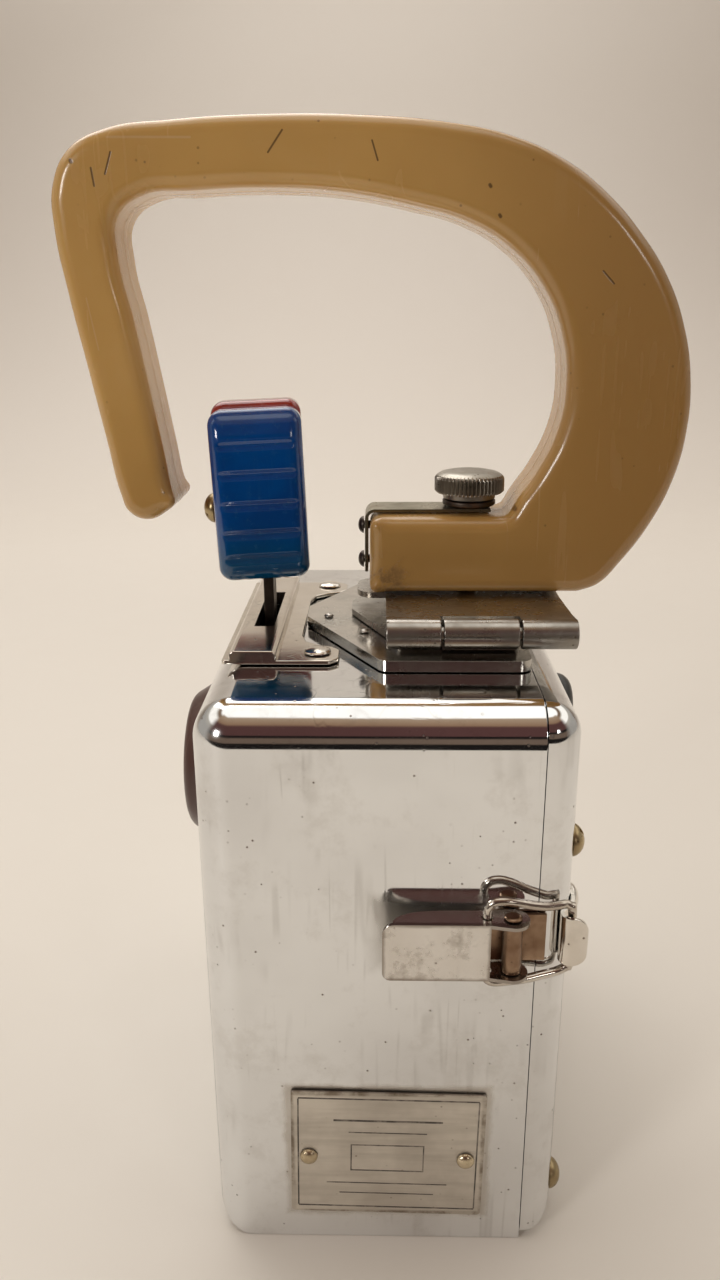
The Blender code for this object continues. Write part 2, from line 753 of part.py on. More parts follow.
holder_plate = block("holder_plate", (2.6, -16.0, 71.4), (3.8, 16.0, 112.0), STEEL)
join(holder_plate, block("holder_foot", (2.6, -16.0, 71.4), (18.0, 16.0, 72.4), cutter=True))
battery_shelf = sheet(
    "battery_shelf",
    [rounded([(-38.2, -58.2), (26.0, -58.2), (26.0, 58.2), (-38.2, 58.2)], [7.5, 1, 1, 7.5], 3)],
    "XY",
    70.6,
    1.0,
    BLACK,
)
for k, (x, y) in enumerate(((-18.2, -17.6), (-18.2, 17.6), (16.6, -17.6), (16.6, 17.6)), 1):
    turned(
        "battery_cell_%d" % k,
        [(0.0, 67.4), (4.6, 67.4), (4.6, 66.0), (16.4, 65.6), (17.1, 64.8), (17.1, 7.0), (16.4, 6.2), (0.0, 6.2)],
        (x, y, 0),
        "Z",
        CELL,
        16,
    )
cell_tray = sheet(
    "cell_tray",
    [rounded([(-33.2, -37.5), (27.6, -37.5), (27.6, 37.5), (-33.2, 37.5)], 3, 2)],
    "XY",
    3.6,
    4.6,
    BLACK,
)

# ---------------------------------------------------------------- nameplate
name_plate = block("name_plate", (-22.25, -0.25, -17.5), (22.25, 0.25, 17.5), PLATE, rounding=0.0)
name_plate.location = (0.75 * MM, -60.6 * MM, 25.9 * MM)
name_plate.rotation_euler = (0.0, math.radians(1.0), 0.0)
for label, x, z in (("front", -17.4, 25.4), ("rear", 18.8, 24.6)):
    rivet("plate_rivet_" + label, (x, -61.1, z), "-Y", 2.05, 1.2, 0.9, 2.6, BRASS, 12)
    hole = rod("cut_plate_rivet_" + label, (x, -60.5, z), "Y", 1.2, 5, sides=12, cutter=True)
    cut(name_plate, hole)
    cut(case_shell, hole)

# ---------------------------------------------------------------- latch on the case
PX, PY = LATCH_PIVOT
latch_base = block("latch_base", (19.6, -61.1, LATCH_Z - 5.6), (34.0, -60.3, LATCH_Z + 5.6), STEEL)
join(
    latch_base,
    block("latch_web", (PX + 1.2, PY, LATCH_Z - 5.5), (PX + 2.1, -60.4, LATCH_Z + 5.5), cutter=True),
    rod("latch_barrel", (PX, PY, LATCH_Z), "Z", 2.1, 11.3, sides=20, cutter=True),
)
cut(latch_base, rod("cut_latch_pin", (PX, PY, LATCH_Z), "Z", 1.3, 14, sides=14, cutter=True))
latch_pivot_pin = turned(
    "latch_pivot_pin",
    [(0.0, 7.55), (1.3, 7.5), (1.9, 7.1), (1.0, 7.1), (1.0, -7.1), (1.9, -7.1), (1.3, -7.5), (0.0, -7.55)],
    (PX, PY, LATCH_Z),
    "Z",
    DARK_STEEL,
    14,
)
LEVER_HALF = 6.75
latch_lever = sheet(
    "latch_lever",
    [
        rounded(
            [
                (-0.6, LATCH_Z - LEVER_HALF), (21.8, LATCH_Z - LEVER_HALF),
                (21.8, LATCH_Z + LEVER_HALF), (-0.6, LATCH_Z + LEVER_HALF),
            ],
            [1.8, 0, 0, 2.6],
            4,
        )
    ],
    "XZ",
    -66.45,
    0.9,
    CHROME,
)
flange_side = (
    [(21.8, -66.85), (1.6, -66.85), (1.6, -65.4), (3.4, -63.4), (7.5, -61.9), (21.8, -61.4)]
    + arc(LATCH_PIVOT, 3.5, 90, -90, 10)
    + [(23.4, -67.2)]
)
for label, z in (("low", LATCH_Z - LEVER_HALF + 0.4), ("high", LATCH_Z + LEVER_HALF - 0.4)):
    join(latch_lever, sheet("latch_flange_" + label, [flange_side], "XY", z, 0.8, cutter=True))
lip = sheet(
    "latch_lip",
    [[(-0.6, -66.88), (0.3, -66.88), (0.5, -65.6), (0.9, -64.6), (0.2, -64.2), (-0.3, -65.3)]],
    "XY",
    LATCH_Z - 0.4,
    8.4,
    cutter=True,
)
join(latch_lever, lip)
cut(
    latch_lever,
    rod("cut_lever_pin", (PX, PY, LATCH_Z), "Z", 1.35, 20, sides=14, cutter=True),
    rod("cut_bail_holes", (*BAIL_AT, LATCH_Z), "Z", WIRE_R + 0.32, 20, sides=14, cutter=True),
)
centred(latch_lever, (PX, PY, LATCH_Z))

# ---------------------------------------------------------------- rear cover
rear_cover = pan(
    "rear_cover",
    (SEAM_X + GAP, -HALF_W, COVER_BOTTOM),
    (REAR_X, HALF_W, CASE_H),
    -1,
    COVER_R,
    lambda e: edge_along(e, 0) and max(v.co.z for v in e.verts) < 0,
    CHROME,
)
cut(rear_cover, rod("cut_switch", (REAR_X, 0, SWITCH_Z), "X", 3.4, 12, sides=16, cutter=True))
contact_board = block("contact_board", (36.2, -54.0, 6.6), (37.6, -44.0, 108.0), BLACK)
for label, z in (("upper", 102.2), ("lower", 9.7)):
    rivet("cover_screw_" + label, (REAR_X + GAP, -49.6, z), "X", 3.7, 2.9, 1.4, 9.0, BRASS, 14)
    hole = rod("cut_cover_screw_" + label, (REAR_X, -49.6, z), "X", 1.8, 8, sides=12, cutter=True)
    cut(rear_cover, hole)
    cut(contact_board, hole)

frame_out = rounded([(-57.2, 4.6), (57.2, 4.6), (57.2, 134.0), (-57.2, 134.0)], 6.0, 3)
frame_in = rounded([(-56.4, 5.4), (56.4, 5.4), (56.4, 133.2), (-56.4, 133.2)], 5.2, 3)
cover_frame = sheet("cover_frame", [frame_out, frame_in], "YZ", 32.0, 7.6, STEEL)
seal_out = rounded([(-58.3, 3.95), (58.3, 3.95), (58.3, 134.7), (-58.3, 134.7)], 6.4, 3)
seal_in = rounded([(-57.5, 4.3), (57.5, 4.3), (57.5, 134.3), (-57.5, 134.3)], 6.2, 3)
cover_gasket = sheet("cover_gasket", [seal_out, seal_in], "YZ", 33.0, 4.0, RUBBER)

# hinge of the cover, on the side away from the latch
HX, HY = COVER_HINGE
leaf_in, leaf_t = COVER_R + GAP, 0.9
far_corner = (REAR_X - COVER_R, HALF_W - COVER_R)
near_corner = (REAR_X - COVER_R, COVER_R - HALF_W)
case_hinge_leaf = block("case_hinge_leaf", (15.0, 60.3, 28.0), (32.9, 61.2, 108.0), STEEL)
for k, (z0, z1) in enumerate(((28.0, 54.0), (82.4, 108.0))):
    join(
        case_hinge_leaf,
        rod("case_knuckle_%d" % k, (HX, HY, (z0 + z1) / 2), "Z", 2.15, z1 - z0, sides=18, cutter=True),
    )
cut(case_hinge_leaf, block("cut_knuckle", (30.4, 59, 53.99), (36, 66, 82.41), cutter=True))
cover_leaf_side = (
    [(33.2, HALF_W + GAP + leaf_t)]
    + arc(far_corner, leaf_in + leaf_t, 84, 0, 7)
    + [(REAR_X + GAP + leaf_t, 41.0), (REAR_X + GAP, 41.0)]
    + arc(far_corner, leaf_in, 0, 90, 7)
)
cover_hinge_leaf = sheet("cover_hinge_leaf", [cover_leaf_side], "XY", 68.2, 27.8, STEEL)
join(cover_hinge_leaf, rod("cover_knuckle", (HX, HY, 68.2), "Z", 2.15, 27.8, sides=18, cutter=True))
hinge_bore = rod("cut_cover_pin", (HX, HY, 68), "Z", 1.2, 100, sides=14, cutter=True)
cut(case_hinge_leaf, hinge_bore)
cut(cover_hinge_leaf, hinge_bore)
cover_hinge_pin = rod("cover_hinge_pin", (HX, HY, 68), "Z", 0.95, 80.6, STEEL, sides=14)

# keeper: a strip round the cover's edge, its end bent back into a hook that holds the wire
HOOK_IN = 1.6
turn = math.radians(KEEPER_TURN)
reach = leaf_in + leaf_t + HOOK_IN
HOOK = (near_corner[0] + reach * math.cos(turn), near_corner[1] - reach * math.sin(turn))
hook_out = HOOK_IN + leaf_t
keeper_side = (
    [(REAR_X + GAP, -38.0), (REAR_X + GAP + leaf_t, -38.0)]
    + arc(near_corner, leaf_in + leaf_t, 0, -KEEPER_TURN, 6)
    + arc(HOOK, HOOK_IN, 180 - KEEPER_TURN, 270, 7)[1:]
    + [(42.2, HOOK[1] - HOOK_IN + 0.2), (42.6, HOOK[1] - hook_out + 0.5), (41.8, HOOK[1] - hook_out + 0.05)]
    + arc(HOOK, hook_out, 270, 180 - KEEPER_TURN, 8)
    + arc(near_corner, leaf_in, -KEEPER_TURN, 0, 6)[1:]
)
keeper_half = 5.7
latch_keeper = sheet("latch_keeper", [keeper_side], "XY", LATCH_Z, 2 * keeper_half, STEEL)
boss = turned(
    "keeper_boss",
    [(0.0, 2.1), (1.6, 1.9), (2.9, 1.2), (3.4, 0.3), (3.4, -0.3), (0.0, -0.3)],
    (REAR_X + GAP + leaf_t, -47.4, LATCH_Z + 1.0),
    "X",
    None,
    16,
    cutter=True,
)
join(latch_keeper, boss)
for label, side in (("high", 1), ("low", -1)):
    z, r = LATCH_Z + side * keeper_half, 3.2
    corner = (
        [(42.6 - r, z)]
        + [
            (42.6 - r + r * math.sin(math.radians(a)), z - side * r * (1 - math.cos(math.radians(a))))
            for a in (25, 50, 70, 90)
        ]
        + [(44.0, z - side * r), (44.0, z + side * 1.0), (42.6 - r, z + side * 1.0)]
    )
    cut(
        latch_keeper,
        sheet("cut_keeper_corner_" + label, [corner], "XZ", HOOK[1] - 2.2, 2.2, cutter=True),
    )


def bail_path():
    """The wire loop: out of one flange, over to the keeper's hook, down through it and back."""
    x0, y0 = BAIL_AT
    hx, hy = HOOK
    z = LATCH_Z
    upper = [
        (x0, y0, z + 5.2), (x0, y0, z + 8.2), (x0 + 0.3, y0, z + 9.3), (x0 + 0.95, y0, z + 10.1),
        (x0 + 1.9, y0, z + 10.6), (x0 + 3.8, y0, z + 10.7), (x0 + 6.4, y0 + 0.4, z + 10.1),
        (x0 + 9.4, y0 + 1.1, z + 9.1), (x0 + 12.4, y0 + 1.8, z + 8.4), (x0 + 15.4, y0 + 2.7, z + 8.2),
        (hx - 1.5, hy - 0.1, z + 8.0), (hx - 0.6, hy, z + 7.5), (hx, hy, z + 6.3),
    ]
    lower = [
        (hx, hy, z - 6.3), (hx - 0.6, hy, z - 7.5), (hx - 1.6, hy - 0.1, z - 8.1),
        (x0 + 14.9, y0 + 2.6, z - 8.3), (x0 + 11.8, y0 + 1.8, z - 8.6), (x0 + 8.6, y0 + 1.0, z - 8.9),
        (x0 + 4.0, y0 + 0.2, z - 9.0), (x0 + 1.9, y0, z - 9.0), (x0 + 0.9, y0, z - 8.7),
        (x0 + 0.25, y0, z - 8.1), (x0, y0, z - 7.3), (x0, y0, z - 5.2),
    ]
    return upper + lower


latch_bail = wire("latch_bail", bail_path(), WIRE_R, STEEL, 2)

switch_knob = turned(
    "switch_knob",
    [
        (0.0, 8.1), (4.2, 7.95), (6.2, 7.2), (7.5, 5.6), (7.9, 3.4), (8.0, 0.6), (7.8, 0.0), (3.0, 0.0),
        (3.0, -2.4), (0.0, -2.4),
    ],
    (REAR_X + GAP, 0, SWITCH_Z),
    "X",
    BLACK,
    24,
)
cut(
    switch_knob,
    block("cut_knob_mark", (47.4, -0.7, SWITCH_Z + 1.3), (50.0, 0.7, SWITCH_Z + 7.4), cutter=True),
)
switch_body = block("switch_body", (26.0, -11.0, 103.0), (37.4, 11.0, 125.0), BLACK, rounding=1.0, segments=1)

for obj in (rear_cover, cover_frame, cover_gasket, latch_keeper, cover_hinge_leaf):
    centred(obj, (HX, HY, 68.2))

# empties on the joint axes carry the moving pieces
JOINTS = {
    "handle_fold": (
        (21.3, HINGE_Y, HINGE_Z),
        ("handle", "hinge_leaf_upper", "handle_strap", "strap_screw_upper", "strap_screw_lower"),
    ),
    "colour_lever_swing": (
        (LEVER_X, 0, PIVOT_Z),
        ("lever_arm", "knob_blue", "knob_red", "knob_screw", "filter_frame", "filter_red", "filter_blue"),
    ),
    "cover_swing": (
        (HX, HY, 68.2),
        (
            "rear_cover", "cover_frame", "cover_gasket", "contact_board", "cover_screw_upper",
            "cover_screw_lower", "cover_hinge_leaf", "latch_keeper", "switch_body",
        ),
    ),
    "latch_throw": ((PX, PY, LATCH_Z), ("latch_lever",)),
    "bail_swing": ((*BAIL_AT, LATCH_Z), ("latch_bail",)),
}
for name, (spot, members) in JOINTS.items():
    pivot = bpy.data.objects.new(name, None)
    PARTS.objects.link(pivot)
    pivot.location = [c * MM for c in spot]
    bpy.context.view_layer.update()
    for member in members:
        obj = bpy.data.objects[member]
        world = obj.matrix_world.copy()
        obj.parent = pivot
        obj.matrix_parent_inverse = pivot.matrix_world.inverted()
        obj.matrix_world = world
bpy.context.view_layer.update()
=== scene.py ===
"""Looks for the railway signal lamp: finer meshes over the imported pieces, finishes, stage, light and
camera. Lengths below are in millimetres in the row frame: -X is the lens side, +X the battery cover,
-Y the side with the latch, +Z up."""

import json
import math

import bmesh
import bpy
import numpy as np
from mathutils import Euler, Matrix, Vector


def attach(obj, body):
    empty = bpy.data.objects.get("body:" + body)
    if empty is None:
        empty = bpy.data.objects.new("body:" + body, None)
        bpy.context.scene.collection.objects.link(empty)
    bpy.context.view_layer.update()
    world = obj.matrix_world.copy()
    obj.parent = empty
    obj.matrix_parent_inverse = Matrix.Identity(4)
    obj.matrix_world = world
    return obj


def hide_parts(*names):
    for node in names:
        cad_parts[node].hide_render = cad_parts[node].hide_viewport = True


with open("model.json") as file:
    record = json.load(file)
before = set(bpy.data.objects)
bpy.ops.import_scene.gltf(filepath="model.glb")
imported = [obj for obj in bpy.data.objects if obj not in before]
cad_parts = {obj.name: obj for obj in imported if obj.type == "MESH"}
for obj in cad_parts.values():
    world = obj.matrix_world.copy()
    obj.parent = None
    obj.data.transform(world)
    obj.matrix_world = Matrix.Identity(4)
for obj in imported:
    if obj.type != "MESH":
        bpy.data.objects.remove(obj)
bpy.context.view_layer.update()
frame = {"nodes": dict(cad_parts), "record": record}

MM = 0.001
GAP = 0.3
CASE_FRONT, SEAM_X, REAR_X = -40.0, 32.3, 40.0
HALF_W, CASE_H = 60.0, 136.0
SHEET, EDGE_R = 1.0, 8.4
COVER_BOTTOM, COVER_R = 2.6, 6.8
LENS_Z, APERTURE_R = 97.7, 19.6
PIVOT_Z, LEVER_X, LEVER_T = 120.0, -28.9, 2.5
SLOT_HALF, SLOT_W = 15.0, 4.8
KNOB_AT, KNOB_YAW, KNOB_LEAN = (-30.2, 165.0), 4.9, -2.1
HINGE_Y, HINGE_Z, BARREL_R, PIN_R = -33.4, 143.7, 3.35, 1.5
HANDLE_W, FOOT_Z, FOOT_TOP, HANDLE_EDGE = 22.0, 146.2, 164.7, 3.6
THUMB_X = 20.4
COVER_HINGE = (33.0, 62.5)
LATCH_Z, LATCH_PIVOT, BAIL_AT, WIRE_R = 85.2, (26.5, -64.3), (21.2, -64.0), 0.95
KEEPER_TURN = 50.0
SWITCH_Z = 114.0

scene = bpy.context.scene
SCRATCH = []


# ---------------------------------------------------------------- mesh helpers
def add(name, mesh, scratch=False):
    obj = bpy.data.objects.new(name, mesh)
    scene.collection.objects.link(obj)
    if scratch:
        SCRATCH.append(obj)
    return obj


def clear_scratch():
    for obj in SCRATCH:
        bpy.data.objects.remove(obj, do_unlink=True)
    SCRATCH.clear()


def mesh_from(name, verts, faces, weld=0.0):
    """A mesh from points in millimetres, its normals turned outwards."""
    bm = bmesh.new()
    made = [bm.verts.new([c * MM for c in v]) for v in verts]
    bm.verts.ensure_lookup_table()
    for face in faces:
        try:
            bm.faces.new([made[i] for i in face])
        except ValueError:
            pass
    if weld:
        bmesh.ops.remove_doubles(bm, verts=bm.verts, dist=weld * MM)
    bmesh.ops.recalc_face_normals(bm, faces=bm.faces)
    mesh = bpy.data.meshes.new(name)
    bm.to_mesh(mesh)
    bm.free()
    return mesh


def block(name, low, high, scratch=False):
    x0, y0, z0 = low
    x1, y1, z1 = high
    verts = [(x, y, z) for x in (x0, x1) for y in (y0, y1) for z in (z0, z1)]
    faces = [(0, 1, 3, 2), (4, 6, 7, 5), (0, 4, 5, 1), (2, 3, 7, 6), (0, 2, 6, 4), (1, 5, 7, 3)]
    return add(name, mesh_from(name, verts, faces), scratch)


TURN = {
    "X": Euler((0.0, math.pi / 2, 0.0)),
    "-X": Euler((0.0, -math.pi / 2, 0.0)),
    "Y": Euler((-math.pi / 2, 0.0, 0.0)),
    "-Y": Euler((math.pi / 2, 0.0, 0.0)),
    "Z": Euler((0.0, 0.0, 0.0)),
}


def turned(name, profile, centre, axis, steps=64, scratch=False, ripple=None):
    """A solid of revolution from (radius, height) points; ripple(angle, level) changes a radius."""
    rings, verts, faces = [], [], []
    turn = TURN[axis].to_matrix()
    for level, (r, h) in enumerate(profile):
        if r <= 1e-9:
            rings.append([len(verts)])
            verts.append(turn @ Vector((0, 0, h)))
            continue
        ring = []
        for k in range(steps):
            a = 2 * math.pi * k / steps
            rr = r + (ripple(a, level) if ripple else 0.0)
            ring.append(len(verts))
            verts.append(turn @ Vector((rr * math.cos(a), rr * math.sin(a), h)))
        rings.append(ring)
    pairs = list(zip(rings, rings[1:]))
    if len(rings[0]) > 1 and len(rings[-1]) > 1:
        pairs.append((rings[-1], rings[0]))
    for a, b in pairs:
        for k in range(steps):
            j = (k + 1) % steps
            if len(a) == 1 and len(b) == 1:
                continue
            if len(a) == 1:
                faces.append((a[0], b[k], b[j]))
            elif len(b) == 1:
                faces.append((a[k], b[0], a[j]))
            else:
                faces.append((a[k], b[k], b[j], a[j]))
    moved = [(v.x + centre[0], v.y + centre[1], v.z + centre[2]) for v in verts]
    return add(name, mesh_from(name, moved, faces), scratch)


def rod(name, centre, axis, radius, length, steps=64, scratch=False, ease=0.0):
    h = length / 2
    if ease:
        profile = [
            (0.0, h), (radius - ease, h), (radius - ease * 0.3, h - ease * 0.3), (radius, h - ease),
            (radius, ease - h), (radius - ease * 0.3, ease * 0.3 - h), (radius - ease, -h), (0.0, -h),
        ]
    else:
        profile = [(0.0, h), (radius, h), (radius, -h), (0.0, -h)]
    return turned(name, profile, centre, axis, steps, scratch)


def rounded(corners, radius, steps=10):
    """A closed outline whose corners are arcs; radius is one number or one for each corner."""
    out = []
    count = len(corners)
    radii = radius if isinstance(radius, (list, tuple)) else [radius] * count
    for i, corner in enumerate(corners):
        here = Vector(corner)
        back = Vector(corners[i - 1]) - here
        ahead = Vector(corners[(i + 1) % count]) - here
        r = radii[i]
        if r <= 0:
            out.append(tuple(here))
            continue
        half = back.angle(ahead) / 2
        reach = min(r / math.tan(half), 0.49 * back.length, 0.49 * ahead.length)
        r = reach * math.tan(half)
        start, end = here + back.normalized() * reach, here + ahead.normalized() * reach
        centre = here + (back.normalized() + ahead.normalized()).normalized() * (r / math.sin(half))
        a, b = start - centre, end - centre
        sweep = a.angle(b)
        for k in range(steps + 1):
            t = k / steps
            point = (math.sin((1 - t) * sweep) * a + math.sin(t * sweep) * b) / math.sin(sweep)
            out.append(tuple(centre + point))
    return out


def arc(centre, radius, start, end, steps):
    return [
        (
            centre[0] + radius * math.cos(math.radians(start + (end - start) * k / steps)),
            centre[1] + radius * math.sin(math.radians(start + (end - start) * k / steps)),
        )
        for k in range(steps + 1)
    ]


def flow(points, each=6, closed=False):
    """Catmull-Rom points through a list of points of any dimension."""
    pts = [np.array(p, float) for p in points]
    n = len(pts)
    out = []
    last = n if closed else n - 1
    for i in range(last):
        p0 = pts[(i - 1) % n] if closed or i > 0 else 2 * pts[0] - pts[1]
        p1, p2 = pts[i], pts[(i + 1) % n]
        p3 = pts[(i + 2) % n] if closed or i + 2 < n else 2 * pts[-1] - pts[-2]
        for k in range(each):
            t = k / each
            out.append(
                tuple(
                    0.5 * (2 * p1 + (p2 - p0) * t + (2 * p0 - 5 * p1 + 4 * p2 - p3) * t * t
                           + (3 * p1 - p0 - 3 * p2 + p3) * t**3)
                )
            )
    if not closed:
        out.append(tuple(pts[-1]))
    return out


PLANE = {
    "XY": (0.0, 0.0, 0.0),
    "XZ": (math.pi / 2, 0.0, 0.0),
    "YZ": (math.pi / 2, 0.0, math.pi / 2),
}
ACROSS = {"XY": 2, "XZ": 1, "YZ": 0}


def sheet(name, outlines, plane, middle, thickness, scratch=False):
    """A flat piece: closed outlines in a plane and a thickness about middle."""
    curve = bpy.data.curves.new(name, "CURVE")
    curve.dimensions = "2D"
    curve.fill_mode = "BOTH"
    curve.extrude = thickness / 2 * MM
    for outline in outlines:
        spline = curve.splines.new("POLY")
        spline.points.add(len(outline) - 1)
        for point, (x, y) in zip(spline.points, outline):
            point.co = (x * MM, y * MM, 0.0, 1.0)
        spline.use_cyclic_u = True
    holder = bpy.data.objects.new(name + "_outline", curve)
    scene.collection.objects.link(holder)
    holder.rotation_euler = PLANE[plane]
    spot = [0.0, 0.0, 0.0]
    spot[ACROSS[plane]] = middle * MM
    holder.location = spot
    bpy.context.view_layer.update()
    graph = bpy.context.evaluated_depsgraph_get()
    mesh = bpy.data.meshes.new_from_object(holder.evaluated_get(graph))
    mesh.transform(holder.matrix_world)
    mesh.name = name
    bpy.data.objects.remove(holder, do_unlink=True)
    bm = bmesh.new()
    bm.from_mesh(mesh)
    bmesh.ops.remove_doubles(bm, verts=bm.verts, dist=0.000004)
    bmesh.ops.dissolve_limit(bm, angle_limit=math.radians(0.05), verts=bm.verts, edges=bm.edges)
    bmesh.ops.recalc_face_normals(bm, faces=bm.faces)
    bm.to_mesh(mesh)
    bm.free()
    return add(name, mesh, scratch)


def boolean(obj, other, operation):
    mod = obj.modifiers.new("shape", "BOOLEAN")
    mod.operation = operation
    mod.solver = "EXACT"
    mod.object = other


def cut(obj, *cutters):
    for cutter in cutters:
        boolean(obj, cutter, "DIFFERENCE")
    return obj


def join(obj, *others):
    for other in others:
        boolean(obj, other, "UNION")
    return obj


def ease(obj, width, segments=3, angle=35):
    mod = obj.modifiers.new("eased_edges", "BEVEL")
    mod.width = width * MM
    mod.segments = segments
    mod.limit_method = "ANGLE"
    mod.angle_limit = math.radians(angle)
    mod.use_clamp_overlap = True
    return obj


def settle(obj):
    """The evaluated shape as a plain mesh in row-frame coordinates, its object at the origin."""
    bpy.context.view_layer.update()
    graph = bpy.context.evaluated_depsgraph_get()
    mesh = bpy.data.meshes.new_from_object(obj.evaluated_get(graph))
    mesh.transform(obj.matrix_world)
    name = obj.name
    if obj in SCRATCH:
        SCRATCH.remove(obj)
    bpy.data.objects.remove(obj, do_unlink=True)
    bm = bmesh.new()
    bm.from_mesh(mesh)
    bmesh.ops.remove_doubles(bm, verts=bm.verts, dist=0.000002)
    loose = [v for v in bm.verts if not v.link_faces]
    bmesh.ops.delete(bm, geom=loose, context="VERTS")
    bm.to_mesh(mesh)
    bm.free()
    return add(name, mesh)


BODY_OF = {n: b for b, ns in frame["record"]["behaviour"]["bodies"].items() for n in ns}


def piece(obj, node, mat, sharp=35, own_name=None, stands_for=True, flat_weight=True):
    """Finishes a piece: settles it, smooths it, gives it its material and puts it on its body."""
    obj = settle(obj)
    obj.name = own_name or node + "_fine"
    mesh = obj.data
    mesh.name = obj.name
    mesh.materials.clear()
    mesh.materials.append(mat)
    for poly in mesh.polygons:
        poly.material_index = 0
    mesh.shade_smooth()
    mesh.set_sharp_from_angle(angle=math.radians(sharp))
    if flat_weight:
        mod = obj.modifiers.new("even_shading", "WEIGHTED_NORMAL")
        mod.keep_sharp = True
        mod.weight = 50
    clear_scratch()
    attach(obj, BODY_OF[node])
    if stands_for:
        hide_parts(node)
    return obj


# ---------------------------------------------------------------- node helpers
class Graph:
    """Short names for the shader nodes used below."""

    def __init__(self, name):
        self.mat = bpy.data.materials.new(name)
        self.mat.use_nodes = True
        self.tree = self.mat.node_tree
        self.shader = self.tree.nodes["Principled BSDF"]
        self.coords = self.tree.nodes.new("ShaderNodeTexCoord").outputs["Object"]

    def node(self, kind, **settings):
        made = self.tree.nodes.new(kind)
        for key, value in settings.items():
            setattr(made, key, value)
        return made

    def feed(self, socket, value):
        if isinstance(value, bpy.types.NodeSocket):
            self.tree.links.new(value, socket)
        elif isinstance(value, (tuple, list)) and len(value) == 3 and socket.type == "RGBA":
            socket.default_value = (*value, 1.0)
        else:
            socket.default_value = value

    def place(self, scale=(1, 1, 1), turn=(0, 0, 0), shift=(0, 0, 0)):
        made = self.node("ShaderNodeMapping")
        self.feed(made.inputs["Vector"], self.coords)
        made.inputs["Scale"].default_value = scale
        made.inputs["Rotation"].default_value = turn
        made.inputs["Location"].default_value = shift
        return made.outputs["Vector"]

    def noise(self, scale, detail=2.0, rough=0.5, vector=None, distortion=0.0):
        made = self.node("ShaderNodeTexNoise")
        self.feed(made.inputs["Vector"], vector or self.coords)
        made.inputs["Scale"].default_value = scale
        made.inputs["Detail"].default_value = detail
        made.inputs["Roughness"].default_value = rough
        made.inputs["Distortion"].default_value = distortion
        return made.outputs["Fac"]

    def cells(self, scale, vector=None, feature="F1", random=1.0):
        made = self.node("ShaderNodeTexVoronoi", feature=feature)
        self.feed(made.inputs["Vector"], vector or self.coords)
        made.inputs["Scale"].default_value = scale
        made.inputs["Randomness"].default_value = random
        return made.outputs["Distance"]

    def ramp(self, value, low, high, to_low=0.0, to_high=1.0, smooth=True):
        made = self.node("ShaderNodeMapRange", interpolation_type="SMOOTHSTEP" if smooth else "LINEAR")
        self.feed(made.inputs["Value"], value)
        for key, number in (("From Min", low), ("From Max", high), ("To Min", to_low), ("To Max", to_high)):
            made.inputs[key].default_value = number
        return made.outputs["Result"]

    def math(self, operation, a, b=0.0, clamp=False):
        made = self.node("ShaderNodeMath", operation=operation, use_clamp=clamp)
        self.feed(made.inputs[0], a)
        self.feed(made.inputs[1], b)
        return made.outputs[0]

    def mix(self, fac, a, b, blend="MIX"):
        made = self.node("ShaderNodeMix", data_type="RGBA", blend_type=blend)
        self.feed(made.inputs["Factor"], fac)
        self.feed(made.inputs["A"], a)
        self.feed(made.inputs["B"], b)
        return [s for s in made.outputs if s.type == "RGBA"][0]

    def parts(self, vector=None):
        made = self.node("ShaderNodeSeparateXYZ")
        self.feed(made.inputs[0], vector or self.coords)
        return made.outputs[0], made.outputs[1], made.outputs[2]

    def bump(self, height, strength, distance, normal=None):
        made = self.node("ShaderNodeBump")
        made.inputs["Strength"].default_value = strength
        made.inputs["Distance"].default_value = distance
        self.feed(made.inputs["Height"], height)
        if normal is not None:
            self.feed(made.inputs["Normal"], normal)
        return made.outputs["Normal"]

    def near(self, point, radius, soft=0.5, stretch=(1, 1, 1), turn=(0, 0, 0)):
        """1 close to a point (millimetres), 0 past the radius; stretch scales the distance by axis."""
        shifted = self.node("ShaderNodeVectorMath", operation="SUBTRACT")
        self.feed(shifted.inputs[0], self.coords)
        shifted.inputs[1].default_value = [c * MM for c in point]
        turned_by = self.node("ShaderNodeMapping")
        self.feed(turned_by.inputs["Vector"], shifted.outputs[0])
        turned_by.inputs["Rotation"].default_value = turn
        scaled = self.node("ShaderNodeVectorMath", operation="MULTIPLY")
        self.feed(scaled.inputs[0], turned_by.outputs[0])
        scaled.inputs[1].default_value = stretch
        length = self.node("ShaderNodeVectorMath", operation="LENGTH")
        self.feed(length.inputs[0], scaled.outputs[0])
        return self.ramp(length.outputs["Value"], radius * (1 - soft) * MM, radius * MM, 1.0, 0.0)

    def stroke(self, a, b, width, soft=0.6, plane="XZ"):
        """1 along a straight mark between two points of a plane (millimetres), 0 beside it."""
        i, j = {"XZ": (0, 2), "XY": (0, 1), "YZ": (1, 2)}[plane]
        xyz = self.parts()
        u, v = xyz[i], xyz[j]
        d = Vector(b) - Vector(a)
        length = d.length
        d.normalize()
        du = self.math("SUBTRACT", u, a[0] * MM)
        dv = self.math("SUBTRACT", v, a[1] * MM)
        along = self.math("ADD", self.math("MULTIPLY", du, d.x), self.math("MULTIPLY", dv, d.y))
        side = self.math("SUBTRACT", self.math("MULTIPLY", du, d.y), self.math("MULTIPLY", dv, d.x))
        over = self.math("MAXIMUM", self.math("SUBTRACT", along, length * MM), self.math("MULTIPLY", along, -1.0))
        over = self.math("MAXIMUM", over, 0.0)
        far = self.math(
            "SQRT", self.math("ADD", self.math("MULTIPLY", over, over), self.math("MULTIPLY", side, side))
        )
        return self.ramp(far, width * (1 - soft) * MM, width * MM, 1.0, 0.0)

